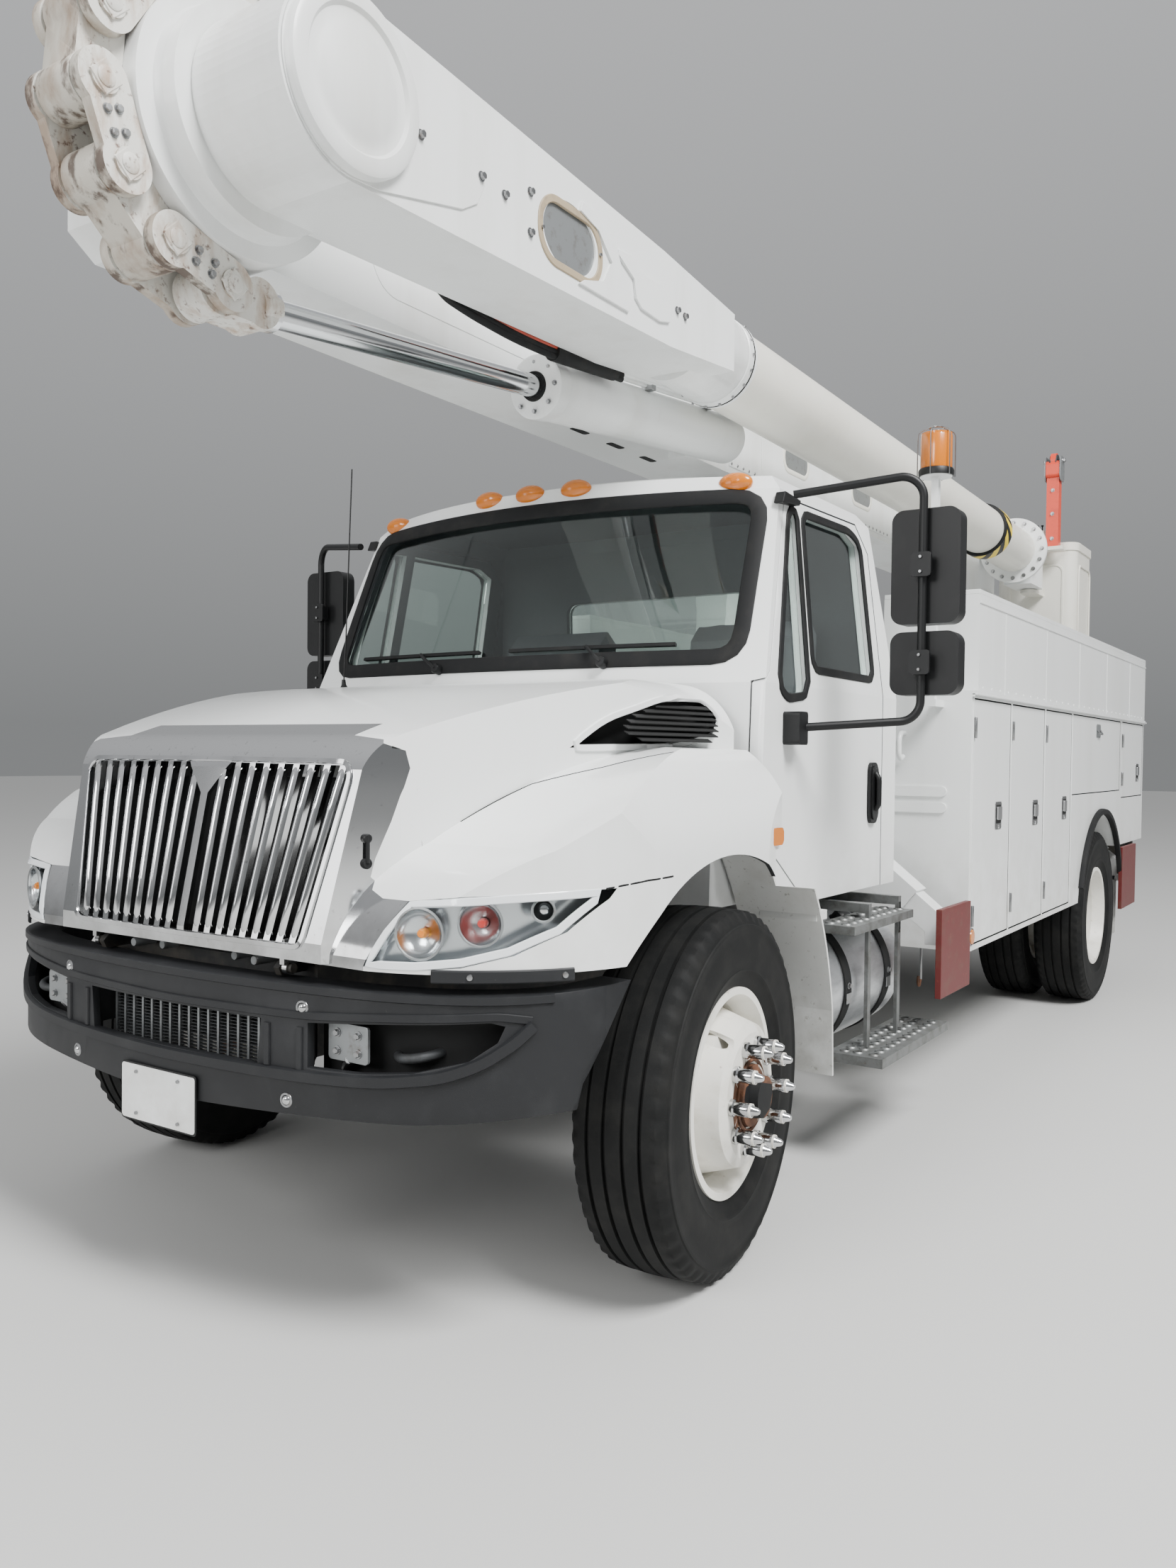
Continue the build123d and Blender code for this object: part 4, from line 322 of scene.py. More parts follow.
def make_worn_and_small(colours):
    """Finishes of the wheels, the chain, the outriggers and the small parts, and the stage."""
    # Wheel enamel, chalky, with rust creeping out from the studs
    finish("wheel", colours.wheels, 0.42, soil=[
        ("#B8B2A2", 0.08, 0.5, 0.75, 0.5, ALL), ("#7B4A2B", 0.02, 0.66, 0.76, 0.55, ALL)])
    # Bare cast hubs: brown rust with lighter bloom
    finish("rust", "#6B4630", 0.8, 0.2, soil=[
        ("#2D2320", 0.02, 0.4, 0.65, 0.8, ALL), ("#A0714A", 0.01, 0.55, 0.7, 0.5, ALL)], grain=(0.003, 0.001))
    # Chain plates: white paint worn through to rust in long runs
    finish("chain_paint", "#D6D4CD", 0.48, soil=[
        ("#9C7A5A", 0.06, 0.48, 0.66, 0.7, SHORT_RUNS), ("#5A3826", 0.02, 0.58, 0.68, 0.85, ALL)],
        grain=(0.004, 0.0005))
    # Edges of the chain plates, where the paint went first
    finish("chain_edge", "#BDB8AD", 0.52, soil=[
        ("#80634A", 0.12, 0.42, 0.6, 0.7, SHORT_RUNS), ("#3E2A1E", 0.06, 0.52, 0.62, 0.85, (1, 1, 0.5))])
    # Outrigger shoes: dark red enamel rubbed down to brown
    finish("pad_red", colours.pads, 0.5, soil=[
        ("#5B3A2E", 0.06, 0.5, 0.7, 0.6, ALL), ("#A5483E", 0.02, 0.62, 0.75, 0.4, ALL)])
    # Jib: orange enamel, stained red where it rubs
    finish("jib_orange", colours.jib, 0.4, soil=[("#8F2F1F", 0.08, 0.5, 0.75, 0.4, ALL)])
    # Yellow band of the boom tube
    finish("hazard", colours.hazard, 0.4)
    # Red hose cover, browned by oil
    finish("hose_red", "#A8402C", 0.5, soil=[("#5A2A20", 0.05, 0.5, 0.75, 0.5, ALL)])
    # Splash flaps: pale grey plastic, splattered with mud
    finish("flap", "#D3D4D1", 0.55, soil=[
        ("#7A766C", 0.018, 0.62, 0.7, 0.6, ALL), ("#A9A69C", 0.2, 0.5, 0.75, 0.4, ALL)],
        low_soil=("#6E6A60", 0.3, 0.9, 0.6))
    # Step treads: galvanised steel gone dull, dark in the holes
    finish("tread_plate", "#7E807F", 0.5, 0.7, soil=[
        ("#4A4741", 0.05, 0.45, 0.7, 0.6, ALL), ("#6B4A33", 0.02, 0.62, 0.75, 0.4, ALL)],
        grain=(0.004, 0.0006))
    # Plates and latches: dull grey steel
    finish("grey_plate", "#8C8F90", 0.45, 0.6, soil=[("#5A4A3C", 0.03, 0.55, 0.75, 0.5, ALL)])
    # Bowls behind the lamp covers: bright metal film
    finish("reflector", "#D2D5D7", 0.2, 1.0)
    # Ring of the inspection window: old sealant, gone tan
    finish("sealant", "#A3937A", 0.6, soil=[("#6E6254", 0.05, 0.5, 0.7, 0.5, ALL)])
    # Hard chrome on the cylinder rods: mirror bright and evenly ground
    finish("rod_chrome", "#CFD1D3", 0.12, 1.0)
    # Painted shade: near-black and matt, for openings that no light reaches; the black louvres of the hood
    # vents use it too
    finish("black_and_painted_shade", "#0A0B0B", 0.85)
    # Stage: pale, even and matt
    finish("stage", "#C2C2C0", 0.8)


def make_finishes(colours):
    """Every finish of the truck."""
    make_painted_and_moulded(colours)
    make_glass_and_lamps(colours)
    make_worn_and_small(colours)


# The CAD nodes that each finish covers; a star stands for the left and the right one
NODE_FINISHES = {
    "amber": "amber_lamps",
    "aluminium": "fuel_tank",
    "black_plastic": "mirror_*",
    "boom_enamel": "bay_floor lower_boom outrigger_front_* outrigger_rear_* outrigger_housings pedestal "
                   "turntable upper_boom",
    "cab_trim": "cab_interior",
    "casting": "engine_block",
    "chain_paint": "elbow_chain",
    "chassis": "frame_rails front_axle rear_axle knuckle_*",
    "chrome": "grille",
    "enamel": "body_* box_lid_* cab_shell door_* hatch_* hood rear_door_* tall_door_front_* "
              "tall_door_middle_left tall_door_rear_*",
    "flap": "splash_flaps",
    "gel_coat": "boom_tube bucket",
    "glass": "cab_glass door_glass_*",
    "jib_orange": "jib",
    "lens": "headlights",
    "moulding": "bumper",
    "rod_chrome": "elbow_rod",
    "steel": "lift_rod",
    "tread_plate": "cab_steps",
    "tyre": "front_tyre_* rear_tyres_*",
    "wheel": "front_wheel_* rear_wheels_*",
}


def millimetres(point):
    """A frame point in millimetres from the front axle."""
    return point.x / MM - AXLE_X, point.y / MM, point.z / MM


def wheel_radius(point, axle_x):
    """Distance of a point from a wheel's axle line, in millimetres."""
    x, _, z = millimetres(point)
    return math.hypot(x - axle_x, z - TYRE_RADIUS)


# Faces that have another finish: nodes, finish and the test of a face's centre and normal, both given
# as if the face lay on the left
FACE_FINISHES = [
    ("front_wheel_*", "rust", lambda p, n: wheel_radius(p, 0) < 96),
    ("front_wheel_*", "rubber", lambda p, n: wheel_radius(p, 0) < 57),
    ("rear_wheels_*", "rust", lambda p, n: wheel_radius(p, REAR_X) < 96),
    ("outrigger_front_* outrigger_rear_*", "pad_red", lambda p, n: p.y > 1.2245),
    ("fuel_tank", "rubber", lambda p, n: math.hypot(abs(p.y) - 0.83, p.z - 0.65) > 0.2505),
    ("cab_shell", "cab_trim", lambda p, n: (p - Vector((1.9, 0, 1.7))).dot(n) < -0.02),
    ("door_*", "cab_trim", lambda p, n: n.y < -0.35),
    ("hood", "black_plastic", lambda p, n: (p - Vector((3.2, 0, 1.0))).dot(n) < -0.1),
    ("mirror_*", "mirror_glass", lambda p, n: n.x < -0.99 and p.x < 2.045),
    ("elbow_rod", "chain_paint", lambda p, n: millimetres(p)[0] > 935),
    ("engine_block", "rubber", lambda p, n: millimetres(p)[0] > 560),
    ("bay_floor", "rubber", lambda p, n: p.z > 2.73),
    ("amber_lamps", "enamel", lambda p, n: millimetres(p)[0] < -1800 and p.z < 2.6),
    ("headlights", "reflector", lambda p, n: n.x < 0.12),
    ("elbow_chain", "chain_edge", lambda p, n: abs(n.y) < 0.5),
    # Painted shade: the walls and backs of the gaps round the body's doors are painted metal, but take the
    # black rubber finish to stand for the shade in the gaps
    ("body_*", "rubber", lambda p, n: 1.1934 < p.y < 1.2187 and p.z < 1.745),
]


# Edge rounding: corners closer than this are one, edges that turn by less than this stay as they are
WELD_DISTANCE = 0.00005
ROLLED_ANGLE = math.radians(38)
# Width in millimetres and the CAD nodes that get it
EDGE_ROUNDS = [
    (9, "bumper"),
    (5, "upper_boom lower_boom turntable"),
    (2, "tall_door_front_* tall_door_middle_left tall_door_rear_* hatch_* rear_door_* outrigger_front_* "
        "outrigger_rear_* box_lid_* door_* elbow_chain"),
]


def face_index(mesh, name):
    """The index of a finish on a mesh, added to it if it isn't there."""
    for index, material in enumerate(mesh.materials):
        if material == FINISHES[name]:
            return index
    mesh.materials.append(FINISHES[name])
    return len(mesh.materials) - 1


def paint_nodes():
    """Gives each CAD node its finish, and some of its faces another."""
    for finish_name, names in NODE_FINISHES.items():
        for name in named(names):
            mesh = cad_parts[name].data
            mesh.materials.clear()
            mesh.materials.append(FINISHES[finish_name])
            for polygon in mesh.polygons:
                polygon.material_index = 0
    for names, finish_name, test in FACE_FINISHES:
        for name in named(names):
            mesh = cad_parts[name].data
            flip = Vector((1, -1 if name.endswith("_right") else 1, 1))
            for polygon in mesh.polygons:
                if test(polygon.center * flip, polygon.normal * flip):
                    polygon.material_index = face_index(mesh, finish_name)


def soften_edges():
    """Rolls the sharp edges of the sheet metal, castings and mouldings by a few millimetres."""
    for width, names in EDGE_ROUNDS:
        for name in named(names):
            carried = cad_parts[name]
            carried.modifiers.new("weld", "WELD").merge_threshold = WELD_DISTANCE
            roll = carried.modifiers.new("edge", "BEVEL")
            roll.width = width * MM
            roll.segments = 2
            roll.limit_method = "ANGLE"
            roll.angle_limit = ROLLED_ANGLE
            roll.use_clamp_overlap = True
            roll.harden_normals = True


def eased(points, bend, closed=False):
    """The points with each corner eased to a bend of so many metres."""
    result = []
    count = len(points)
    for i, corner in enumerate(points):
        if not closed and i in (0, count - 1):
            result.append(corner)
            continue
        before = points[i - 1] - corner
        after = points[(i + 1) % count] - corner
        reach = min(bend, before.length * 0.45, after.length * 0.45)
        start = corner + before.normalized() * reach
        end = corner + after.normalized() * reach
        for step in range(5):
            t = step / 4
            result.append(start.lerp(corner, t).lerp(corner.lerp(end, t), t))
    return result


def grown(points, amount):
    """Corners in metres moved away from their middle by amount millimetres."""
    middle = sum(points, Vector()) / len(points)
    return [point + (point - middle).normalized() * (amount * MM) for point in points]


def spaced(points, gap, closed):
    """Points along a line of corners, no further apart than gap."""
    result = []
    last = len(points) if closed else len(points) - 1
    for i in range(last):
        start, end = points[i], points[(i + 1) % len(points)]
        steps = max(1, math.ceil((end - start).length / gap))
        result += [start.lerp(end, k / steps) for k in range(steps)]
    if not closed:
        result.append(points[-1])
    return result


def rounded(u, v, half_u, half_v, radius, steps=5):
    """The outline of a rectangle with round corners about a middle, in millimetres."""
    points = []
    for k, (su, sv) in enumerate(((1, 1), (-1, 1), (-1, -1), (1, -1))):
        for i in range(steps + 1):
            angle = math.pi / 2 * (k + i / steps)
            points.append((u + su * (half_u - radius) + radius * math.cos(angle),
                           v + sv * (half_v - radius) + radius * math.sin(angle)))
    return points


class Surface:
    """The outside of some CAD nodes, to lay trim on."""

    def __init__(self, *names):
        points = []
        faces = []
        for name in names:
            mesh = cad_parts[name].data
            start = len(points)
            points += [v.co.copy() for v in mesh.vertices]
            faces += [[start + i for i in polygon.vertices] for polygon in mesh.polygons]
        self.tree = BVHTree.FromPolygons(points, faces)

    def hit(self, origin, direction):
        """The first point and normal met from origin, both in metres, or None twice."""
        point, normal, _, _ = self.tree.ray_cast(origin, direction)
        if point is not None and normal.dot(direction) > 0:
            normal = -normal
        return point, normal

    def path(self, origins, direction):
        """The points and normals met from a row of origins; those that miss are left out."""
        met = [self.hit(origin, direction) for origin in origins]
        return [m for m in met if m[0] is not None]

    def trace(self, corners, direction, gap, bend=0.0, grow=0.0, closed=True):
        """The path below a line of corners in metres, eased by bend metres and grown by grow millimetres."""
        if bend:
            corners = eased(corners, bend, closed)
        if grow:
            corners = grown(corners, grow)
        return self.path(spaced(corners, gap, closed), direction)


# An edge between faces that turn by more than this, in radians, is shaded sharp
CREASE = 0.6


class Piece:
    """Gathers faces in several finishes into one mesh that rides on a body."""

    def __init__(self, name, body, slot):
        self.name, self.body, self.slot = name, body, slot
        self.mesh = bmesh.new()
        self.finishes = []
        self.turn = Matrix()

    def add(self, points, faces, finish_name, smooth=True):
        """Adds a set of faces and returns them."""
        if finish_name not in self.finishes:
            self.finishes.append(finish_name)
        corners = [self.mesh.verts.new(self.turn @ point) for point in points]
        made = []
        for face in faces:
            new = self.mesh.faces.new([corners[i] for i in face])
            new.material_index = self.finishes.index(finish_name)
            new.smooth = smooth
            made.append(new)
        return made

    def revolve(self, profile, centre, axis, finish_name, steps, closed=False, smooth=True):
        """Turns (radius, along) pairs in millimetres about an axis; profile may depend on the step."""
        axis = axis.normalized()
        side = Z if abs(axis.z) < 0.9 else X
        side = (side - axis * side.dot(axis)).normalized()
        other = axis.cross(side)
        points = []
        for i, angle in enumerate(circle(steps)):
            out = side * math.cos(angle) + other * math.sin(angle)
            section = profile(i) if callable(profile) else profile
            points += [centre + out * (r * MM) + axis * (h * MM) for r, h in section]
        count = len(points) // steps
        faces = []
        for i in range(steps):
            j = (i + 1) % steps
            for k in range(count if closed else count - 1):
                m = (k + 1) % count
                faces.append((i * count + k, i * count + m, j * count + m, j * count + k))
        return self.add(points, faces, finish_name, smooth)

    def prism(self, outline, axis, low, high, finish_name, bevel=0.0):
        """Extrudes an outline in millimetres along X, Y or Z, with eased edges if asked."""
        place = {
            "X": lambda u, v, w: at(w, u, v),
            "Y": lambda u, v, w: at(u, w, v),
            "Z": lambda u, v, w: at(u, v, w),
        }[axis]
        count = len(outline)
        points = [place(u, v, w) for w in (low, high) for u, v in outline]
        faces = [tuple(range(count)), tuple(range(count, 2 * count))]
        faces += [(i, (i + 1) % count, count + (i + 1) % count, count + i) for i in range(count)]
        made = self.add(points, faces, finish_name, smooth=False)
        if bevel:
            edges = list({edge for face in made for edge in face.edges})
            bmesh.ops.bevel(
                self.mesh, geom=edges, offset=bevel * MM, segments=2, affect="EDGES", profile=0.5,
                material=-1, clamp_overlap=True)

    def box(self, low, high, finish_name, bevel=0.0):
        """A box between two corners in millimetres."""
        self.prism(
            [(low[0], low[1]), (high[0], low[1]), (high[0], high[1]), (low[0], high[1])],
            "Z", low[2], high[2], finish_name, bevel)

    def plate(self, side, outline, low, high, finish_name, bevel=0.0):
        """Extrudes an outline of x and z on one side of the truck, from low out to high."""
        self.prism(outline, "Y", side * low, side * high, finish_name, bevel)

    def side_box(self, side, xs, ys, zs, finish_name, bevel):
        """A box on one side of the truck, between pairs of x, y and z."""
        low, high = sorted(side * y for y in ys)
        self.box((xs[0], low, zs[0]), (xs[1], high, zs[1]), finish_name, bevel)

    def sweep(self, path, section, finish_name, normals=None, closed=False):
        """Draws a section of (side, out) pairs in millimetres along a path."""
        count = len(section)
        points = []
        out = None
        for i, point in enumerate(path):
            ahead = path[(i + 1) % len(path)] if closed or i + 1 < len(path) else point
            behind = path[i - 1] if closed or i > 0 else point
            run = (ahead - behind).normalized()
            if normals:
                out = normals[i]
            elif out is None:
                out = Z if abs(run.z) < 0.9 else X
            out = (out - run * out.dot(run)).normalized()
            side = run.cross(out)
            points += [point + side * (u * MM) + out * (v * MM) for u, v in section]
        faces = []
        for i in range(len(path) if closed else len(path) - 1):
            j = (i + 1) % len(path)
            faces += [
                (i * count + k, i * count + (k + 1) % count, j * count + (k + 1) % count, j * count + k)
                for k in range(count)]
        if not closed:
            faces.append(tuple(range(count)))
            faces.append(tuple(range(len(points) - count, len(points))))
        self.add(points, faces, finish_name)

    def tube(self, path, radius, finish_name, sides, bend=0.0):
        """A round bar or hose of a radius in millimetres along a path."""
        if bend:
            path = eased(path, bend * MM)
        self.sweep(path, on_circle(0, 0, radius, circle(sides)), finish_name)

    def seal(self, met, width, height, finish_name, closed=True):
        """A flat rubber or trim strip on a surface, from the points and normals met on it."""
        section = [
            (-width / 2, -3), (-width / 2, height * 0.5), (-width * 0.4, height), (width * 0.4, height),
            (width / 2, height * 0.5), (width / 2, -3)]
        self.sweep([m[0] for m in met], section, finish_name, [m[1] for m in met], closed)

    def bead(self, points, out, width, height, finish_name, closed=True):
        """A strip on a flat face, which looks out."""
        self.seal([(point, out) for point in points], width, height, finish_name, closed)

    def bolt(self, place, axis, size, washer=True):
        """A steel hexagon bolt head across size millimetres, standing along axis."""
        radius = size / 2
        if washer:
            self.revolve([(0, 2), (radius * 1.3, 2), (radius * 1.35, 0)], place, axis, "steel", 16)
        self.revolve(
            [(0, size * 0.62), (radius * 0.85, size * 0.62), (radius, size * 0.52), (radius, 1)],
            place, axis, "steel", 6, smooth=False)

    def done(self):
        """Turns what was gathered into an object and returns it."""
        bmesh.ops.remove_doubles(self.mesh, verts=self.mesh.verts, dist=1e-6)
        bmesh.ops.recalc_face_normals(self.mesh, faces=self.mesh.faces)
        for edge in self.mesh.edges:
            edge.smooth = len(edge.link_faces) != 2 or edge.calc_face_angle(0.0) < CREASE
        data = bpy.data.meshes.new(self.name)
        self.mesh.to_mesh(data)
        self.mesh.free()
        for finish_name in self.finishes:
            data.materials.append(FINISHES[finish_name])
        made = bpy.data.objects.new(self.name, data)
        bpy.context.scene.collection.objects.link(made)
        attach(made, self.body)
        return made


def steered(side):
    """The turn of a front wheel about its kingpin at rest."""
    kingpin = at(0, side * KINGPIN_Y, 0)
    return Matrix.Translation(kingpin) @ Matrix.Rotation(STEER_REST, 4, "Z") @ Matrix.Translation(-kingpin)


class TRUCK_OT_finishes(bpy.types.Operator):
    """Makes the finishes and paints the CAD nodes"""

    bl_idname = "truck.finishes"
    bl_label = "Finishes"

    def execute(self, context):
        make_finishes(context.scene.truck_colours)
        paint_nodes()
        soften_edges()
        return {"FINISHED"}


def tyre_section(groove, notch):
    """Half of a tyre's section from its crown to its bead, as (radius, along) pairs."""
    def crown(y):
        return TYRE_RADIUS - 6 * (y / 115.5) ** 2

    section = [(crown(0), 0)]
    for middle in (27, 75):
        section += [
            (crown(middle), middle - 6), (crown(middle) - groove, middle - 4.5),
            (crown(middle) - groove, middle + 4.5), (crown(middle), middle + 6)]
    section += [
        (crown(98), 98), (516 - notch, 115.5), (497 - notch, 129), (486, 132), (480, 133.5), (477, 137),
        (468, 137.5), (464, 135.5), (440, 137.5), (402, 139), (368, 136.5), (352, 134), (349, 135),
        (343, 133), (340, 130), (320, 121), (306, 116), (300, 112.5), (287, 101)]
    return section


class TRUCK_OT_tyres(bpy.types.Operator):
    """Tyres with ribs, shoulder notches and moulded sidewall rings, for the plain CAD tyres"""

    bl_idname = "truck.tyres"
    bl_label = "Tyres"

    def execute(self, context):
        depth = context.scene.truck_sizes.tread_depth / MM
        pitches = 58

        def section(step):
            half = tyre_section(depth, 7 if step % 4 in (2, 3) else 0)
            return [(r, -y) for r, y in reversed(half[1:])] + half

        for side, label in SIDES:
            for name, body, x, rows, turn in (
                    (f"front_tyre_{label}", f"{label}_front_wheel", 0, (1030,), steered(side)),
                    (f"rear_tyres_{label}", f"{label}_rear_wheels", REAR_X, (1080, 744), Matrix())):
                piece = Piece(f"tread_{name}", body, "tyre_rubber")
                piece.turn = turn
                for row in rows:
                    piece.revolve(section, at(x, side * row, TYRE_RADIUS), Y, "tyre", 4 * pitches)
                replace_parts(piece.done(), name)
        return {"FINISHED"}


class TRUCK_OT_wheel_trim(bpy.types.Operator):
    """Nut covers of the front wheels, nuts and hub bolts of the rear ones"""

    bl_idname = "truck.wheel_trim"
    bl_label = "Wheel trim"

    def execute(self, context):
        length = context.scene.truck_sizes.cover_length / MM
        cover = [
            (0, length), (6, length - 1), (10, length - 6), (13, length - 18), (17.5, length - 24),
            (19.6, length - 30), (19.6, 14), (24, 10), (24, 0)]
        nut = [(0, 62), (17, 62), (20, 58), (20, 1)]
        ring = [(94, 0.4), (94, 5), (100, 8), (104, 5), (104, 0.4)]
        for side, label in SIDES:
            out = Y * side
            front = Piece(f"nut_covers_{label}", f"{label}_front_wheel", "chrome_trim")
            front.turn = steered(side)
            for x, z in on_circle(0, TYRE_RADIUS, STUD_CIRCLE, circle(10)):
                front.revolve(cover, at(x, side * 1198.4, z), out, "chrome", 20)
            front.revolve(ring, at(0, side * 1198, TYRE_RADIUS), out, "rust", 48)
            front.done()
            rear = Piece(f"hub_nuts_{label}", f"{label}_rear_wheels", "engine_grey")
            for x, z in on_circle(REAR_X, TYRE_RADIUS, STUD_CIRCLE, circle(10)):
                rear.revolve(nut, at(x, side * 912.4, z), out, "steel", 6, smooth=False)
            for x, z in on_circle(REAR_X, TYRE_RADIUS, 44, circle(8, 0.5)):
                rear.bolt(at(x, side * 1042, z), out, 15)
            rear.done()
        return {"FINISHED"}


# Outlines of the glass openings, as in the CAD: y and z in front, x and z at the side
WINDSHIELD = ((895, 1810), (868, 2368), (-868, 2368), (-895, 1810))
VENT_WINDOW = ((-575, 1722), (-640, 1680), (-808, 1700), (-868, 2335), (-800, 2330))
DOOR_WINDOW = ((-872, 1790), (-922, 2338), (-1370, 2345), (-1462, 2310), (-1450, 1788))


class TRUCK_OT_glazing(bpy.types.Operator):
    """Windshield gasket, wipers and the seals of the door windows"""

    bl_idname = "truck.glazing"
    bl_label = "Glazing"

    def execute(self, context):
        width = context.scene.truck_sizes.gasket_width / MM
        cab = Surface("cab_shell", "cab_glass")
        gasket = Piece("windshield_gasket", "truck", "black_rubber")
        rim = Surface("cab_shell").trace(on_front(WINDSHIELD, 600), -X, 0.05, bend=0.09, grow=14)
        gasket.seal(rim, width, 7, "rubber")
        gasket.done()
        wipers = Piece("wipers", "truck", "black_rubber")
        for start, end, pivot in ((-760, -120, -300), (20, 680, 430)):
            met = cab.trace(line((600, start, 1850), (600, end, 1850)), -X, 0.06, closed=False)
            blade = [point + normal * 0.014 for point, normal in met]
            wipers.sweep(blade, [(-5, -11), (5, -11), (6, 6), (-6, 6)], "rubber", [m[1] for m in met])
            middle = blade[len(blade) // 2]
            foot, normal = cab.hit(at(600, pivot, 1792), -X)
            arm = [foot + normal * 0.03, foot.lerp(middle, 0.4) + normal * 0.035, middle + normal * 0.012]
            wipers.tube(arm, 7, "black_plastic", 8, 60)
            wipers.revolve([(0, 34), (16, 34), (19, 28), (19, 0)], foot, normal, "black_plastic", 20)
        wipers.done()
        for side, label in SIDES:
            trim = Piece(f"door_seals_{label}", CAB_DOORS[label], "black_rubber")
            panel = Surface(f"door_{label}")
            for outline in (VENT_WINDOW, DOOR_WINDOW):
                rim = panel.trace(on_side(outline, 1200, side), -Y * side, 0.05, bend=0.05, grow=7)
                trim.seal(rim, 30, 5, "rubber")
            self.handle(trim, Surface(f"door_{label}", f"door_glass_{label}"), side)
            trim.done()
        return {"FINISHED"}

    def handle(self, trim, door, side):
        """The black pull handle on its oval housing."""
        x, z = -1430, 1345
        place, _ = door.hit(at(x, side * OUTSIDE, z), -Y * side)
        face = place.y / MM * side
        for half_x, half_z, low, high in ((44, 118, -3, 14), (34, 104, 12, 20)):
            outline = []
            for u, v in on_circle(0, 0, 1, circle(28)):
                outline.append((x + half_x * math.copysign(abs(u) ** 0.6, u),
                                z + half_z * math.copysign(abs(v) ** 0.35, v)))
            trim.plate(side, outline, face + low, face + high, "black_plastic", 1.5)
        grip = line((-1427, face + 18, 1420), (-1427, face + 32, 1400), (-1427, face + 32, 1300),
                    (-1427, face + 18, 1280), side=side)
        trim.tube(grip, 12, "black_plastic", 12, 25)


# Outline of the left headlight from the front, as in the CAD: y and z
HEADLIGHT_FACE = (
    (662, 972), (697, 1051), (738, 1119), (879, 1137), (1004, 1144), (1105, 1149), (1100, 1130), (1052, 1060),
    (973, 1009), (880, 981), (780, 972))
# Bowls behind its cover: y, z, radius and the finish of the middle
BOWLS = ((790, 1052, 60, "amber"), (915, 1078, 52, "red_lens"), (1022, 1108, 26, "chrome"))


class TRUCK_OT_lamps(bpy.types.Operator):
    """Headlight bowls, fender markers, body reflectors, tail lamps and the beacon's lens"""

    bl_idname = "truck.lamps"
    bl_label = "Lamps"

    def execute(self, context):
        for side, label in SIDES:
            self.headlight(side, label)
            marker = Piece(f"fender_marker_{label}", "hood_assembly", "amber_lens")
            x, z = -325, 1236
            place, _ = Surface("hood").hit(at(x, side * OUTSIDE, 1240), -Y * side)
            face = place.y / MM * side
            marker.plate(side, rounded(x, z, 40, 27, 14), face - 6, face + 9, "amber", 2)
            marker.done()
        rear = Piece("tail_lamps", "truck", "amber_lens")
        for side, _ in SIDES:
            for y, finish_name in ((1060, "red_lens"), (930, "red_lens"), (800, "amber")):
                place = at(BODY_REAR, side * y, 815)
                rear.revolve([(0, 14), (38, 12), (46, 8), (50, 0)], place, -X, finish_name, 28)
                rear.revolve([(50, 6), (56, 5), (58, 0)], place, -X, "rubber", 28)
            place = at(-2105, side * BODY_Y, 722)
            rear.revolve([(0, 10), (30, 8), (34, 0)], place, Y * side, "amber", 24)
            rear.revolve([(34, 5), (38, 4), (39, 0)], place, Y * side, "grey_plate", 24)
        rear.done()
        self.beacon()
        return {"FINISHED"}

    def headlight(self, side, label):
        """Three bowls behind the clear cover, and the rim of the cover, painted near-white as a painted sheen
        of the light in its clear plastic.
        """
        lens = Surface("headlights")
        lamp = Piece(f"headlight_bowls_{label}", "hood_assembly", "chrome_trim")
        for y, z, radius, glow in BOWLS:
            place, normal = lens.hit(at(OUTSIDE, side * y, z), -X)
            if place is None:
                continue
            normal = (normal + X * 0.6).normalized()
            bowl = [(radius, -6), (radius * 0.98, -12), (radius * 0.8, -30), (radius * 0.5, -42), (0, -46)]
            lamp.revolve(bowl, place, normal, "reflector", 36)
            collar = [(radius + 4, -10), (radius + 4, -5), (radius, -4), (radius - 2, -8)]
            lamp.revolve(collar, place, normal, "grey_plate", 36)
            lamp.revolve([(0, -14), (9, -16), (12, -22), (12, -40)], place, normal, glow, 20)
        nose = Surface("headlights", "hood", "grille")
        rim = nose.trace(on_front(HEADLIGHT_FACE, OUTSIDE, side), -X, 0.03, grow=-7)
        lamp.seal(rim, 20, 3, "lamp_rim_painted_sheen")
        lamp.done()

    def beacon(self):
        """The ribbed amber lens on its post, inside a wire cage."""
        beacon = Piece("beacon_lens", "truck", "amber_lens")
        centre = at(-1960, 1080, 2690)

        def ribbed(step):
            swell = 1.5 if step % 2 else 0
            return [(63.4, 2), (63.6 + swell, 8), (63.6 + swell, 138), (60, 149), (40, 152), (0, 153)]

        beacon.revolve(ribbed, centre, Z, "amber", 72)
        beacon.revolve([(66.2, -28), (72, -28), (73, -6), (69, 2), (64, 3)], centre, Z, "black_plastic", 48)
        for angle in circle(6):
            out = Vector((math.cos(angle), math.sin(angle), 0)) * 0.078
            wire = [centre + out + Z * h for h in (-0.03, 0.06, 0.155)] + [centre + out * 0.4 + Z * 0.172]
            beacon.tube(wire, 2.5, "steel", 8, 30)
        beacon.revolve([(28, 170), (33, 172), (33, 175), (28, 175)], centre, Z, "steel", 32, closed=True)
        beacon.done()


# Outline of the left side vent, as x and z, and its louvres: height and both ends
VENT = ((285, 1498), (150, 1585), (-60, 1640), (-280, 1652), (-318, 1600), (-290, 1545), (-100, 1518))
LOUVRES = (
    (1528, -225, 105), (1545, -268, 150), (1562, -284, 142), (1579, -294, 118), (1596, -300, 82),
    (1613, -300, 30), (1630, -292, -30))
# Seam between the hood's top and the left fender: x, y and z
FENDER_SEAM = ((821, 608, 1309), (628, 671, 1355), (415, 742, 1398), (274, 880, 1445), (84, 995, 1490))
# Crease of the left fender above its arch: x and z
CREASE_LINE = ((600, 1154), (552, 1159), (463, 1166), (348, 1168))
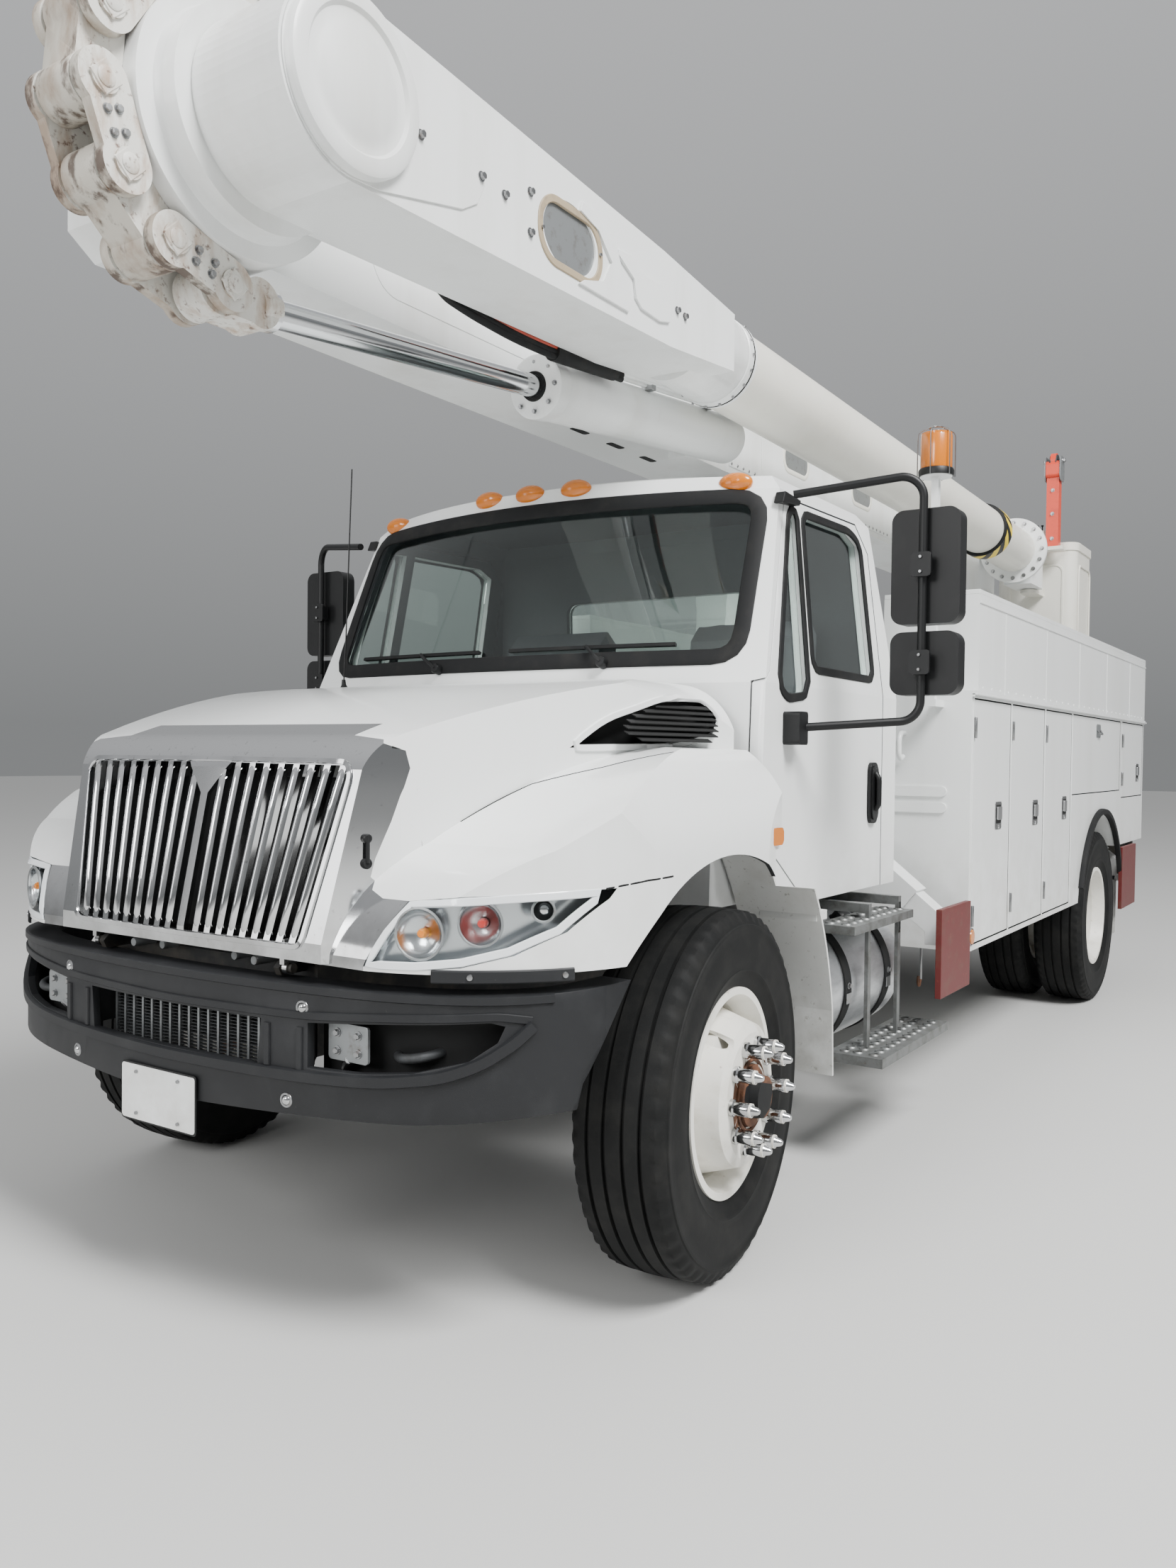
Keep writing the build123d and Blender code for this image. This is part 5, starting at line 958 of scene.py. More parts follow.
# Bead round the grille's opening, from the front: y and z
GRILLE_BEAD = (
    (0, 992), (462, 996), (541, 1424), (517, 1455), (0, 1457), (-517, 1455), (-541, 1424), (-462, 996))


class TRUCK_OT_hood_trim(bpy.types.Operator):
    """Side vents, painted shade lines along the fender seams, grille bars, chin strips, hood catches and the
    antenna
    """

    bl_idname = "truck.hood_trim"
    bl_label = "Hood trim"

    def execute(self, context):
        hood = Surface("hood", "grille")
        for side, label in SIDES:
            self.vent(hood, side, label)
            # Painted shade: a thin dark strip along the seam between the hood's top and the fender stands for
            # the shade in the seam
            seam = Piece(f"fender_seam_{label}", "hood_assembly", "black_rubber")
            above = line(*((x, y, z + 200) for x, y, z in FENDER_SEAM), side=side)
            seam.seal(hood.trace(above, -Z, 0.03, closed=False), 7, 0.8, "rubber", closed=False)
            seam.done()
        self.slat_bars()
        for side, label in SIDES:
            self.chin(hood, side, label)
            self.catch(hood, side, label)
        self.antenna(hood, context.scene.truck_sizes.antenna_length)
        return {"FINISHED"}

    def vent(self, hood, side, label):
        """A white lip, seven louvres and a near-black box behind them, painted shade for the dark inside of
        the vent.
        """
        trim = Piece(f"hood_vents_{label}", "hood_assembly", "dark_bumper_plastic")
        met = hood.trace(on_side(VENT, 1150, side), -Y * side, 0.04, bend=0.06, grow=12)
        trim.seal(met, 20, 8, "enamel")
        for z, start, end in LOUVRES:
            louvre = [(x, 928 - 0.16 * x - 0.55 * (z - 1500), z) for x in (start, start / 2, end)]
            trim.sweep(line(*louvre, side=side), [(-9, -8), (9, 1), (9, 4), (-9, -5)], "black_and_painted_shade")
        # Painted shade: a near-black box behind the louvres stands for the dark inside of the vent
        count = len(met)
        box = [point - normal * 0.004 for point, normal in met]
        box += [point - Y * side * 0.06 for point, _ in met]
        walls = [(i, (i + 1) % count, count + (i + 1) % count, count + i) for i in range(count)]
        trim.add(box, [*walls, tuple(range(count, 2 * count))], "black_and_painted_shade", smooth=False)
        trim.done()

    def chin(self, hood, side, label):
        """The dark strip below the headlight with its two rivets, and a painted shade line along the crease
        above the arch.
        """
        chin = Piece(f"fender_chin_{label}", "hood_assembly", "dark_bumper_plastic")
        met = hood.path([at(OUTSIDE, side * y, 968) for y in range(716, 1080, 26)], -X)
        corner = int(met[-1][0].x / MM - AXLE_X) - 20
        met += hood.path([at(x, side * OUTSIDE, 968) for x in range(corner, 672, -22)], -Y * side)
        low = [(point - Z * 0.014, normal) for point, normal in met]
        chin.seal(low, 32, 6, "moulding", closed=False)
        for point, normal in (low[3], low[-2]):
            chin.revolve([(0, 10), (7, 9), (9, 5), (9, 0)], point, normal, "steel", 16)
        # Painted shade: a thin dark line along the fender's crease stands for the shade in its fold
        crease = hood.trace(on_side(CREASE_LINE, OUTSIDE, side), -Y * side, 0.05, closed=False)
        chin.seal(crease, 5, 0.6, "rubber", closed=False)
        chin.done()

    def catch(self, hood, side, label):
        """The rubber hood catch between its two studs."""
        catch = Piece(f"hood_catch_{label}", "hood_assembly", "black_rubber")
        place, normal = hood.hit(at(OUTSIDE, side * 580, 1236), -X)
        upper = [(0, 14), (9, 14), (12, 10), (12, 0)]
        catch.revolve(upper, place + Z * 0.03, normal, "black_plastic", 16)
        strap = [place + normal * 0.01 + Z * 0.035, place + normal * 0.012 - Z * 0.03]
        catch.tube(strap, 5, "rubber", 10)
        catch.revolve([(0, 12), (11, 12), (14, 6), (14, 0)], place - Z * 0.032, normal, "rubber", 16)
        catch.done()

    def antenna(self, hood, length):
        """The whip on the right of the cowl."""
        mast = Piece("antenna", "hood_assembly", "black_rubber")
        foot, normal = hood.hit(at(-250, -640, 2200), -Z)
        mast.revolve([(0, 42), (7, 40), (9, 20), (17, 6), (20, 0)], foot, normal, "black_plastic", 20)
        lean = Vector((-0.08, -0.04, 1)).normalized()
        whip = [foot + normal * 0.03, foot + lean * 0.2, foot + lean * length]
        mast.tube(whip, 2.6, "black_plastic", 8, 40)
        mast.done()

    def slat_bars(self):
        """Rounded bright bars over the grille's slats, and the bead round its opening."""
        bars = Piece("grille_bars", "hood_assembly", "chrome_trim")
        section = [(-12, -3), (-12, 1), (-9, 5), (-5, 8), (0, 9.2), (5, 8), (9, 5), (12, 1), (12, -3)]
        # Along a slat from foot to tip, as a share of its half, and how far the bar sinks into it there
        stations = ((-1, 0.006), (-0.97, 0.001), (-0.5, 0), (0, 0), (0.5, 0), (0.97, 0.001), (1, 0.006))
        lean = Vector((-0.211, 0, 0.977))
        ahead = Vector((0.977, 0, 0.211))
        for side in (1, -1):
            for slat in range(9):
                turn = math.radians(side * -1.25 * slat)
                run = lean * math.cos(turn) - Y * math.sin(turn)
                middle = at(925, side * (58 + 51 * slat), 1226) + ahead * 0.008
                top = 0.186 if slat == 0 else 0.212
                path = [middle + run * (share * (0.214 if share < 0 else top)) - ahead * sink
                        for share, sink in stations]
                bars.sweep(path, section, "chrome", [ahead] * len(path))
        bead = Surface("grille").trace(on_front(GRILLE_BEAD, OUTSIDE), -X, 0.04, bend=0.03)
        bars.seal(bead, 15, 6, "chrome")
        bars.done()


# Lips of the bumper's openings, from the left end to the middle: y and z
RIDGE = ((1012, 838), (985, 800), (930, 752), (850, 717), (700, 694), (480, 684), (0, 680))
BROW = ((1010, 850), (960, 862), (700, 848), (497, 834), (0, 828))


class TRUCK_OT_bumper_trim(bpy.types.Operator):
    """Bumper bolts and lips, the blank number plate, the cooler, the towing plates and the ducts"""

    bl_idname = "truck.bumper_trim"
    bl_label = "Bumper trim"

    def execute(self, context):
        face = Surface("bumper")
        trim = Piece("bumper_bolts", "truck", "chrome_trim")
        for y, z in ((480, 852), (-480, 852), (432, 618), (-432, 618)):
            place, normal = face.hit(at(OUTSIDE, y, z), -X)
            trim.revolve([(0, 8), (6, 7.5), (11, 4), (13, 0)], place, normal, "chrome", 20)
            trim.revolve([(13, 2), (18, 1.5), (19, 0)], place, normal, "steel", 24)
        trim.done()
        self.lips(face)
        plate = Piece("blank_number_plate", "truck", "white_paint")
        plate.prism(rounded(-25, 556, 156, 79, 10), "X", 1033, 1036, "black_plastic", 1)
        plate.prism(rounded(-25, 556, 151, 74, 8), "X", 1035.5, 1037.5, "enamel", 0.6)
        for y in (-112, 62):
            for z in (500, 612):
                plate.bolt(at(1037.5, y, z), X, 10, washer=False)
        plate.done()
        cooler = Piece("cooler_fins", "truck", "engine_grey")
        for z in range(640, 812, 9):
            cooler.box((926, -345, z), (938, 345, z + 2.2), "casting")
        for y in range(-340, 341, 40):
            cooler.box((929, y - 4, 640), (941, y + 4, 812), "grey_plate")
        for z in (632, 815):
            cooler.box((912, -352, z), (944, 352, z + 16), "casting", 3)
        cooler.done()
        for side, label in SIDES:
            self.towing_plate(side, label)
            duct = Piece(f"grille_ducts_{label}", "truck", "engine_grey")
            for y, length in ((250, 70), (150, 50)):
                pipe = [(0, length), (11, length), (13, length - 4), (13, 0)]
                duct.revolve(pipe, at(880, side * y, 938), X, "grey_plate", 20)
            duct.done()
        return {"FINISHED"}

    def lips(self, face):
        """The moulded lips below and above the openings, along the top and beside the posts."""
        lips = Piece("bumper_lips", "truck", "dark_bumper_plastic")
        for outline, width, height in ((RIDGE, 30, 13), (BROW, 20, 5)):
            whole = [*outline, *((-y, z) for y, z in reversed(outline[:-1]))]
            met = face.trace(on_front(whole, OUTSIDE), -X, 0.05, bend=0.06, closed=False)
            lips.seal(met, width, height, "moulding", closed=False)
        top = [at(OUTSIDE, y, 899) for y in range(-1040, 1041, 40)]
        lips.seal(face.path(top, -X), 22, 7, "moulding", closed=False)
        for y in (372, -372, 474, -474):
            post = [at(OUTSIDE, y, z) for z in range(700, 816, 15)]
            lips.seal(face.path(post, -X), 18, 6, "moulding", closed=False)
        lips.done()

    def towing_plate(self, side, label):
        """The bolted plate, the hook, and a near-black sheet behind a side opening, painted shade for its
        dark inside.
        """
        tow = Piece(f"towing_plate_{label}", "truck", "engine_grey")
        tow.prism(rounded(side * 590, 772, 66, 46, 8), "X", 942, 950, "grey_plate", 1.5)
        for y in (555, 625):
            for z in (750, 794):
                tow.bolt(at(950, side * y, z), X, 17)
        hook = line((880, 690, 742), (912, 730, 746), (900, 775, 752), (860, 800, 758), (800, 800, 760),
                    side=side)
        tow.tube(hook, 12, "casting", 12, 40)
        # Painted shade: a near-black sheet behind the opening stands for its dark inside
        back = line((912, 470, 745), (905, 600, 745), (865, 760, 745), (825, 850, 745), (765, 930, 745),
                    (700, 985, 745), side=side)
        tow.sweep(back, [(-2, -120), (2, -120), (2, 110), (-2, 110)], "black_and_painted_shade", [Z] * len(back))
        eye = line((946, 590, 730), (930, 560, 700), (880, 520, 690), side=side)
        tow.tube(eye, 10, "steel", 10, 20)
        tow.done()


# Upright doors of the body: name, its hinge's x, and its latch's x and z
BODY_DOORS = {
    "left": (
        ("tall_door_front_left", -2102, -2497, 1227), ("tall_door_middle_left", -2719, -3182, 1218),
        ("tall_door_rear_left", -3382, -3831, 1222), ("rear_door_left", -5526, -6114, 1400)),
    "right": (
        ("tall_door_front_right", -2102, -2900, 1225), ("tall_door_rear_right", -3072, -3180, 1225),
        ("rear_door_right", -5526, -6114, 1400)),
}
# Seams between those doors
DOOR_SEAMS = {"left": (-2078, -2701, -3364, -4002), "right": (-2078, -3042, -4002)}


class TRUCK_OT_body_trim(bpy.types.Operator):
    """Latches, hinges, rails, wheel arch flares, mud flaps and front fittings of the utility body"""

    bl_idname = "truck.body_trim"
    bl_label = "Utility body trim"

    def execute(self, context):
        for side, label in SIDES:
            for name, _, x, z in BODY_DOORS[label]:
                latch = Piece(f"latch_{name}", f"{name}_leaf", "chrome_trim")
                self.latch(latch, x, z, side)
                latch.done()
            hatch = Piece(f"latch_hatch_{label}", f"hatch_{label}_leaf", "chrome_trim")
            hatch.plate(side, rounded(-4731, 1660, 62, 40, 12), BODY_Y, 1221.5, "grey_plate", 1)
            bail = line((-4775, 1221, 1668), (-4775, 1238, 1640), (-4687, 1238, 1640), (-4687, 1221, 1668),
                        side=side)
            hatch.tube(bail, 5, "steel", 10, 16)
            hatch.done()
            strips = Piece(f"body_rails_{label}", "truck", "white_paint")
            knuckle = [(0, 45), (5, 45), (6, 43), (6, -43), (5, -45), (0, -45)]
            for name, x, _, _ in BODY_DOORS[label]:
                low, high = (corner[2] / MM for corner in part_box(name))
                for z in (low + 120, high - 120):
                    strips.revolve(knuckle, at(x, side * 1225, z), Z, "steel", 12)
            self.rails(strips, side, DOOR_SEAMS[label])
            strips.done()
            flare = Piece(f"arch_flare_{label}", "truck", "black_rubber")
            rim = on_circle(REAR_X, TYRE_RADIUS, 646, arc(20, 161, 4))
            flare.bead(on_side(rim, BODY_Y, side), Y * side, 34, 26, "rubber", closed=False)
            flare.done()
            self.mud_flap(side, label)
        self.front_fittings()
        return {"FINISHED"}

    def latch(self, piece, x, z, side):
        """A dished rectangular paddle latch with its lock."""
        piece.plate(side, rounded(x, z, 52, 62, 10), 1218.6, 1221.4, "steel", 1)
        # Painted shade: a near-black plate in the dish stands for the shade under the paddle
        piece.plate(side, rounded(x, z + 6, 39, 42, 8), 1221, 1222, "black_and_painted_shade", 0.4)
        piece.plate(side, rounded(x, z + 10, 35, 30, 6), 1221.6, 1229, "chrome", 2.5)
        lock = at(x, side * 1221.4, z - 50)
        piece.revolve([(0, 5), (7, 5), (9, 3), (9, 0)], lock, Y * side, "chrome", 16)

    def rails(self, piece, side, seams):
        """Drip rail, door surround beads and the rail, seams and rivets of the top box."""
        piece.side_box(side, (-6350, BODY_FRONT), (BODY_Y, 1240), (1751, 1758), "enamel", 1.5)
        for x in seams:
            piece.side_box(side, (x - 5, x + 5), (BODY_Y, 1223), (700, 1742), "enamel", 1.2)
        piece.side_box(side, (-6420, -2170), (TOP_BOX_Y, 1218), (2150, 2158), "enamel", 1.2)
        for x in range(-5800, -2599, 800):
            piece.side_box(side, (x - 3, x + 3), (TOP_BOX_Y, 1215), (1775, 2150), "enamel", 0.6)
        for x in range(-6300, -2100, 140):
            piece.revolve([(0, 3), (4, 2.4), (6, 0)], at(x, side * TOP_BOX_Y, 1790), Y * side, "enamel", 10)

    def mud_flap(self, side, label):
        """The flap behind the rear wheels, with its bolted bar and bracket."""
        flap = Piece(f"rear_mud_flap_{label}", "truck", "black_rubber")
        flap.prism(rounded(side * 900, 520, 300, 190, 20), "X", -5530, -5522, "flap", 1)
        flap.side_box(side, (-5540, -5512), (610, 1190), (690, 716), "chassis", 3)
        for y in range(640, 1170, 90):
            flap.bolt(at(-5512, side * y, 703), X, 13)
        flap.side_box(side, (-5545, -5500), (620, 660), (700, 930), "chassis", 3)
        flap.done()

    def front_fittings(self):
        """Pressed ribs, grab handle and hooks on the front of the left cabinet."""
        front = Piece("body_front_fittings", "truck", "white_paint")
        for z in (1270, 1340):
            front.prism(rounded(950, z, 170, 22, 20), "X", BODY_FRONT, -2049, "enamel", 3)
        handle = line((BODY_FRONT, 930, 1590), (-2010, 930, 1590), (-1990, 930, 1560), (-1990, 930, 1500),
                      (-2010, 930, 1475), (-2040, 930, 1490))
        front.tube(handle, 11, "enamel", 12, 24)
        for y, z in ((905, 470), (1010, 520)):
            front.tube(line((-2090, y, 700), (-2085, y, 600), (-2088, y, z)), 6, "steel", 10, 30)
            hook = line((-2088, y, z), (-2070, y, z - 30), (-2050, y, z - 10), (-2058, y, z + 18))
            front.tube(hook, 6, "rust", 10, 14)
        front.done()


class TRUCK_OT_step_trim(bpy.types.Operator):
    """Raised grip rings of the steps, the tank's cap and its strap bolts"""

    bl_idname = "truck.step_trim"
    bl_label = "Steps and tank"

    def execute(self, context):
        grip = [(13.6, 0), (14, 5), (17, 6), (21, 0)]
        for side, label in SIDES:
            tread = Piece(f"step_grips_{label}", "truck", "black_chassis_paint")
            for x in range(-1500, -950, 60):
                for y in (1050, 1110):
                    tread.revolve(grip, at(x, side * y, 892), Z, "tread_plate", 14)
            for x in range(-1750, -1080, 60):
                for y in (1060, 1110, 1170):
                    tread.revolve(grip, at(x, side * y, 414), Z, "tread_plate", 14)
            tread.done()
        tank = Piece("tank_fittings", "truck", "aluminium_tank")
        neck = Vector((0, 0.55, 0.83)).normalized()
        place = at(-1250, 830, 650) + neck * 0.249
        tank.revolve([(0, 44), (30, 44), (38, 38), (40, 8), (46, 0)], place, neck, "black_plastic", 28)
        for x in (-1050, -1460):
            tank.bolt(at(x, 1086.5, 660), Y, 18)
            tank.box((x - 22, 1085, 596), (x + 22, 1089, 634), "steel", 1)
        tank.done()
        return {"FINISHED"}


class TRUCK_OT_mirror_trim(bpy.types.Operator):
    """Clamps, mounts and rims of the mirrors"""

    bl_idname = "truck.mirror_trim"
    bl_label = "Mirror trim"

    def execute(self, context):
        for side, label in SIDES:
            trim = Piece(f"mirror_clamps_{label}", CAB_DOORS[label], "black_rubber")
            for z in (1795, 2115):
                trim.prism(rounded(side * MIRROR_Y, z, 34, 40, 10), "X", -838, -826, "black_plastic", 3)
                for step in (-24, 24):
                    trim.bolt(at(-826, side * MIRROR_Y, z + step), X, 11, washer=False)
            for low, high in ((1925, 2305), (1690, 1900)):
                outline = rounded(side * MIRROR_Y, (low + high) / 2, 108, (high - low) / 2 - 8, 34)
                trim.bead(on_front(outline, -945), -X, 10, 4, "black_plastic")
            place, _ = Surface(f"door_{label}").hit(at(-790, side * OUTSIDE, 2358), -Y * side)
            if place is not None:
                face = place.y / MM * side
                mount = [(-700, 2340), (-840, 2352), (-850, 2372), (-720, 2382)]
                trim.plate(side, mount, face - 8, face + 30, "black_plastic", 4)
            trim.done()
        return {"FINISHED"}


# Middle line of the boom tube, and the outer face of the upper boom's weldment
BOOM_START = Vector((-1000, 520, 2975))
BOOM_END = Vector((-5950, 384, 3005))
UPPER_BOOM_Y = 720
# Rear part of the elbow's cover plate, and the two bolted brackets behind it: x and z
COVER_TAIL = (
    (1000, 3158), (760, 3112), (670, 3078), (622, 3010), (618, 2930), (645, 2875), (705, 2838), (1000, 2768))
BRACKETS = (
    ((176, 3063), (120, 3060), (-10, 2995), (-92, 2850), (-80, 2828), (187, 2827), (160, 2845), (60, 2872),
     (15, 2945), (90, 3012), (186, 3032)),
    ((-19, 2996), (-91, 3004), (-150, 2968), (-285, 2972), (-350, 2925), (-330, 2872), (-270, 2857),
     (-157, 2862), (-120, 2885), (-110, 2940), (-19, 2978)))
SIDE_BOLTS = ((864, 2953), (633, 2948), (418, 2995), (416, 2887), (530, 2943), (-387, 2930), (-439, 2926))
# Pins of the chain, from the rod's end on round the drum
CHAIN_PINS = on_circle(ELBOW_X, ELBOW_Z, 375, [math.radians(-86 + 26.2 * link) for link in range(8)])


def along_tube(distance):
    """The middle of the boom tube a distance in millimetres behind its root, and the tube's run."""
    run = (BOOM_END - BOOM_START).normalized()
    return at(*(BOOM_START + run * distance)), run


def spokes(run, count):
    """Directions spaced evenly round a run, across it."""
    side = run.cross(Z).normalized()
    other = run.cross(side)
    return [side * math.cos(angle) + other * math.sin(angle) for angle in circle(count)]


class TRUCK_OT_elbow_trim(bpy.types.Operator):
    """Cap, cover plate, stiffeners and bolts of the elbow, and the pins and bolts of its chain"""

    bl_idname = "truck.elbow_trim"
    bl_label = "Elbow trim"

    def execute(self, context):
        trim = Piece("elbow_cover", "upper_arm", "white_paint")
        nose = on_circle(ELBOW_X, ELBOW_Z, 205, arc(-88, 89, 8))
        trim.plate(1, [*nose, *COVER_TAIL], UPPER_BOOM_Y, 725, "boom_enamel", 1.5)
        cap = [(0, 10), (118, 10), (124, 6), (150, 6), (158, 14), (186, 13), (196, 8), (200, 0)]
        trim.revolve(cap, at(ELBOW_X, 740, ELBOW_Z), Y, "boom_enamel", 72)
        shroud = on_circle(ELBOW_X, ELBOW_Z, 213, arc(-72, 98, 6))
        shroud += on_circle(ELBOW_X, ELBOW_Z, 206, arc(96, -74, -6))
        trim.plate(1, shroud, 446, 722, "boom_enamel", 1)
        for x, z in SIDE_BOLTS:
            trim.bolt(at(x, UPPER_BOOM_Y if x < 600 else 725, z), Y, 20)
        window = rounded(222, 2934, 150, 88, 80, 9)
        trim.bead(on_side(window, UPPER_BOOM_Y), Y, 22, 4, "sealant")
        for x, z in ((366, 2920), (78, 2945)):
            trim.bolt(at(x, 723, z), Y, 11, washer=False)
        trim.plate(1, rounded(222, 2934, 142, 80, 74, 9), 711, 714, "grey_plate")
        for outline in BRACKETS:
            trim.plate(1, outline, UPPER_BOOM_Y, 728, "boom_enamel", 2)
        collar = [(300, 0), (262, 3), (256.5, 10), (255.2, 26)]
        trim.revolve(collar, at(ELBOW_X, 372, ELBOW_Z), Y, "boom_enamel", 64)
        # Painted shade: small near-black discs round the collar stand for the shade in its holes
        for x, z in on_circle(ELBOW_X, ELBOW_Z, 278, arc(-120, 121, 40)):
            trim.revolve([(0, 0.6), (8, 0.6), (9, 0)], at(x, 372.4, z), Y, "black_and_painted_shade", 16)
        trim.done()
        chain = Piece("chain_fastenings", "upper_arm", "rusty_chain_steel")
        for x, z in CHAIN_PINS:
            for y, out in ((366, Y), (159, -Y)):
                head = [(0, 8), (17, 8), (22, 5), (22, 0)]
                chain.revolve(head, at(x, y, z), out, "chain_paint", 24)
                chain.revolve([(0, 3), (38, 3), (41, 0)], at(x, y, z), out, "chain_paint", 4, smooth=False)
        for (x, z), (next_x, next_z) in zip(CHAIN_PINS[::2], CHAIN_PINS[1::2]):
            run = Vector((next_x - x, next_z - z))
            for share in (0.36, 0.64):
                for off in (-15, 15):
                    spot = Vector((x, z)) + run * share + Vector((-run.y, run.x)).normalized() * off
                    chain.bolt(at(spot.x, 360, spot.y), Y, 17)
                    chain.bolt(at(spot.x, 165, spot.y), -Y, 17)
        chain.done()
        return {"FINISHED"}


class TRUCK_OT_tube_trim(bpy.types.Operator):
    """Bolted ring, hazard stripes and end bolts of the boom tube"""

    bl_idname = "truck.tube_trim"
    bl_label = "Boom tube trim"

    def execute(self, context):
        trim = Piece("boom_tube_rings", "upper_arm", "fibreglass_tube")
        root, run = along_tube(0)
        ring = [(153.4, 66), (157, 64), (165, 60), (165, -4), (161.4, -8)]
        trim.revolve(ring, root, run, "boom_enamel", 64)
        trim.revolve([(165.4, 42), (166.4, 40), (166.4, 34), (165.4, 32)], root, run, "rubber", 64)
        for out in spokes(run, 18):
            trim.bolt(root + run * 0.02 + out * 0.165, out, 12, washer=False)
        middle, run = along_tube(4080)
        for end in (-1, 1):
            edge = [(153.4, end * 78), (172, end * 76), (174, end * 70)]
            trim.revolve(edge, middle, run, "black_plastic", 64)
        self.stripes(trim, middle, run)
        end, run = along_tube(4951)
        for out in spokes(run, 16):
            trim.bolt(end + out * 0.2 + run * 0.034, run, 22)
            trim.bolt(end + out * 0.2, -run, 22)
        trim.done()
        return {"FINISHED"}

    def stripes(self, trim, middle, run):
        """Slanting stripes round the tube, each a patch of five by five points."""
        count, half_length, radius, slant, rows = 20, 0.07, 0.1742, 3.4, 5
        side = run.cross(Z).normalized()
        other = run.cross(side)
        cells = [row * rows + step for row in range(rows - 1) for step in range(rows - 1)]
        faces = [(a, a + 1, a + rows + 1, a + rows) for a in cells]
        for k in range(count):
            points = []
            for row in range(rows):
                along = -half_length + 2 * half_length * row / (rows - 1)
                for step in range(rows):
                    angle = math.tau * (k + step / (rows - 1)) / count + along * slant
                    out = side * math.cos(angle) + other * math.sin(angle)
                    points.append(middle + run * along + out * radius)
            trim.add(points, faces, "hazard" if k % 2 else "black_plastic")


# The lower boom's outer face, its cover plates, and the three oval windows in them
LOWER_BOOM_Y = 140
BOOM_COVERS = ((-2180, -1900), (-3050, -2240), (-4000, -3110), (-4900, -4060))
BOOM_WINDOWS = (-2640, -3550, -4480)


class TRUCK_OT_boom_lines(bpy.types.Operator):
    """Hoses, steel lines, gland ring and slots round the elbow cylinder and the lower boom"""

    bl_idname = "truck.boom_lines"
    bl_label = "Boom hoses and lines"

    def execute(self, context):
        self.hoses(context.scene.truck_sizes.hose_diameter / MM / 2)
        self.cylinder()
        lower = Piece("lower_boom_plates", "lower_arm", "white_paint")
        # Painted shade: thin near-black plates under the lower boom stand for the shade in its slots
        for x in (-960, -1227, -1493):
            lower.prism(rounded(x, -48, 55, 17, 12), "Z", 2779.2, 2780, "black_and_painted_shade")
        for start, end in BOOM_COVERS:
            lower.box((start, LOWER_BOOM_Y, 2812), (end, 144, 3150), "boom_enamel", 1.2)
            for x in range(start + 20, end, 60):
                for z in (2826, 3136):
                    lower.revolve([(0, 4), (6, 3), (8, 0)], at(x, 144, z), Y, "steel", 10)
        for x in BOOM_WINDOWS:
            ring = rounded(x, 2985, 150, 66, 60, 8)
            lower.bead(on_side(ring, 144), Y, 24, 3, "gel_coat")
            lower.plate(1, rounded(x, 2985, 140, 56, 52, 8), 144, 144.8, "grey_plate")
        bead = rounded(-60, 2980, 480, 120, 110, 8)
        lower.bead(on_side(bead, LOWER_BOOM_Y), Y, 7, 2, "boom_enamel")
        for x in (1130, 1050):
            for z in (2835, 3120):
                lower.bolt(at(x, LOWER_BOOM_Y, z), Y, 26)
        lower.done()
        return {"FINISHED"}

    def hoses(self, radius):
        """Four hoses laid over each other under the upper boom, and their thick sleeve."""
        hoses = Piece("elbow_hoses", "upper_arm", "black_rubber")
        run = ((460, 2880), (398, 2832), (271, 2818), (66, 2808), (-160, 2815), (-366, 2838), (-560, 2850))
        for drop, finish_name in ((0, "hose_red"), (26, "hose_red"), (50, "rubber"), (72, "rubber")):
            path = [at(x, 420 - radius - 2 - drop * 0.1, z - drop * 0.6) for x, z in run]
            hoses.tube(path, radius, finish_name, 14, 90)
        hoses.tube(line((-150, 392, 2788), (-366, 392, 2808), (-520, 392, 2822)), 30, "rubber", 16, 60)
        hoses.done()

    def cylinder(self):
        """The gland ring and its bolts, and the two steel lines in their clamps."""
        cylinder = Piece("elbow_cylinder_fittings", "lower_arm", "engine_grey")
        start = Vector((-1600, 270, 2845))
        run = (Vector((990, 270, 2597)) - start).normalized()
        front = at(*(start + run * math.hypot(1370, 140)))
        gland = [(38.5, 12), (60, 12), (66, 8), (96, 8), (106, 2), (106, -58), (100.4, -62)]
        cylinder.revolve(gland, front, run, "boom_enamel", 56)
        cylinder.revolve([(37.8, 20), (48, 20), (50, 12)], front, run, "rubber", 40)
        for angle in circle(8):
            out = Vector((0, math.cos(angle), math.sin(angle)))
            cylinder.bolt(front + out * 0.082 + run * 0.008, run, 14)
        for y, top in ((66, 94), (90, 100)):
            path = [start + run * d + Vector((0, y, top)) for d in (90, 130, 700, 1240, 1290)]
            path[0].z -= 30
            path[-1].z -= 30
            cylinder.tube([at(*point) for point in path], 9, "boom_enamel", 12, 40)
        for d in (300, 760, 1150):
            x, _, z = start + run * d
            cylinder.box((x - 16, 318, z + 74), (x + 16, 366, z + 112), "steel", 3)
        cylinder.done()


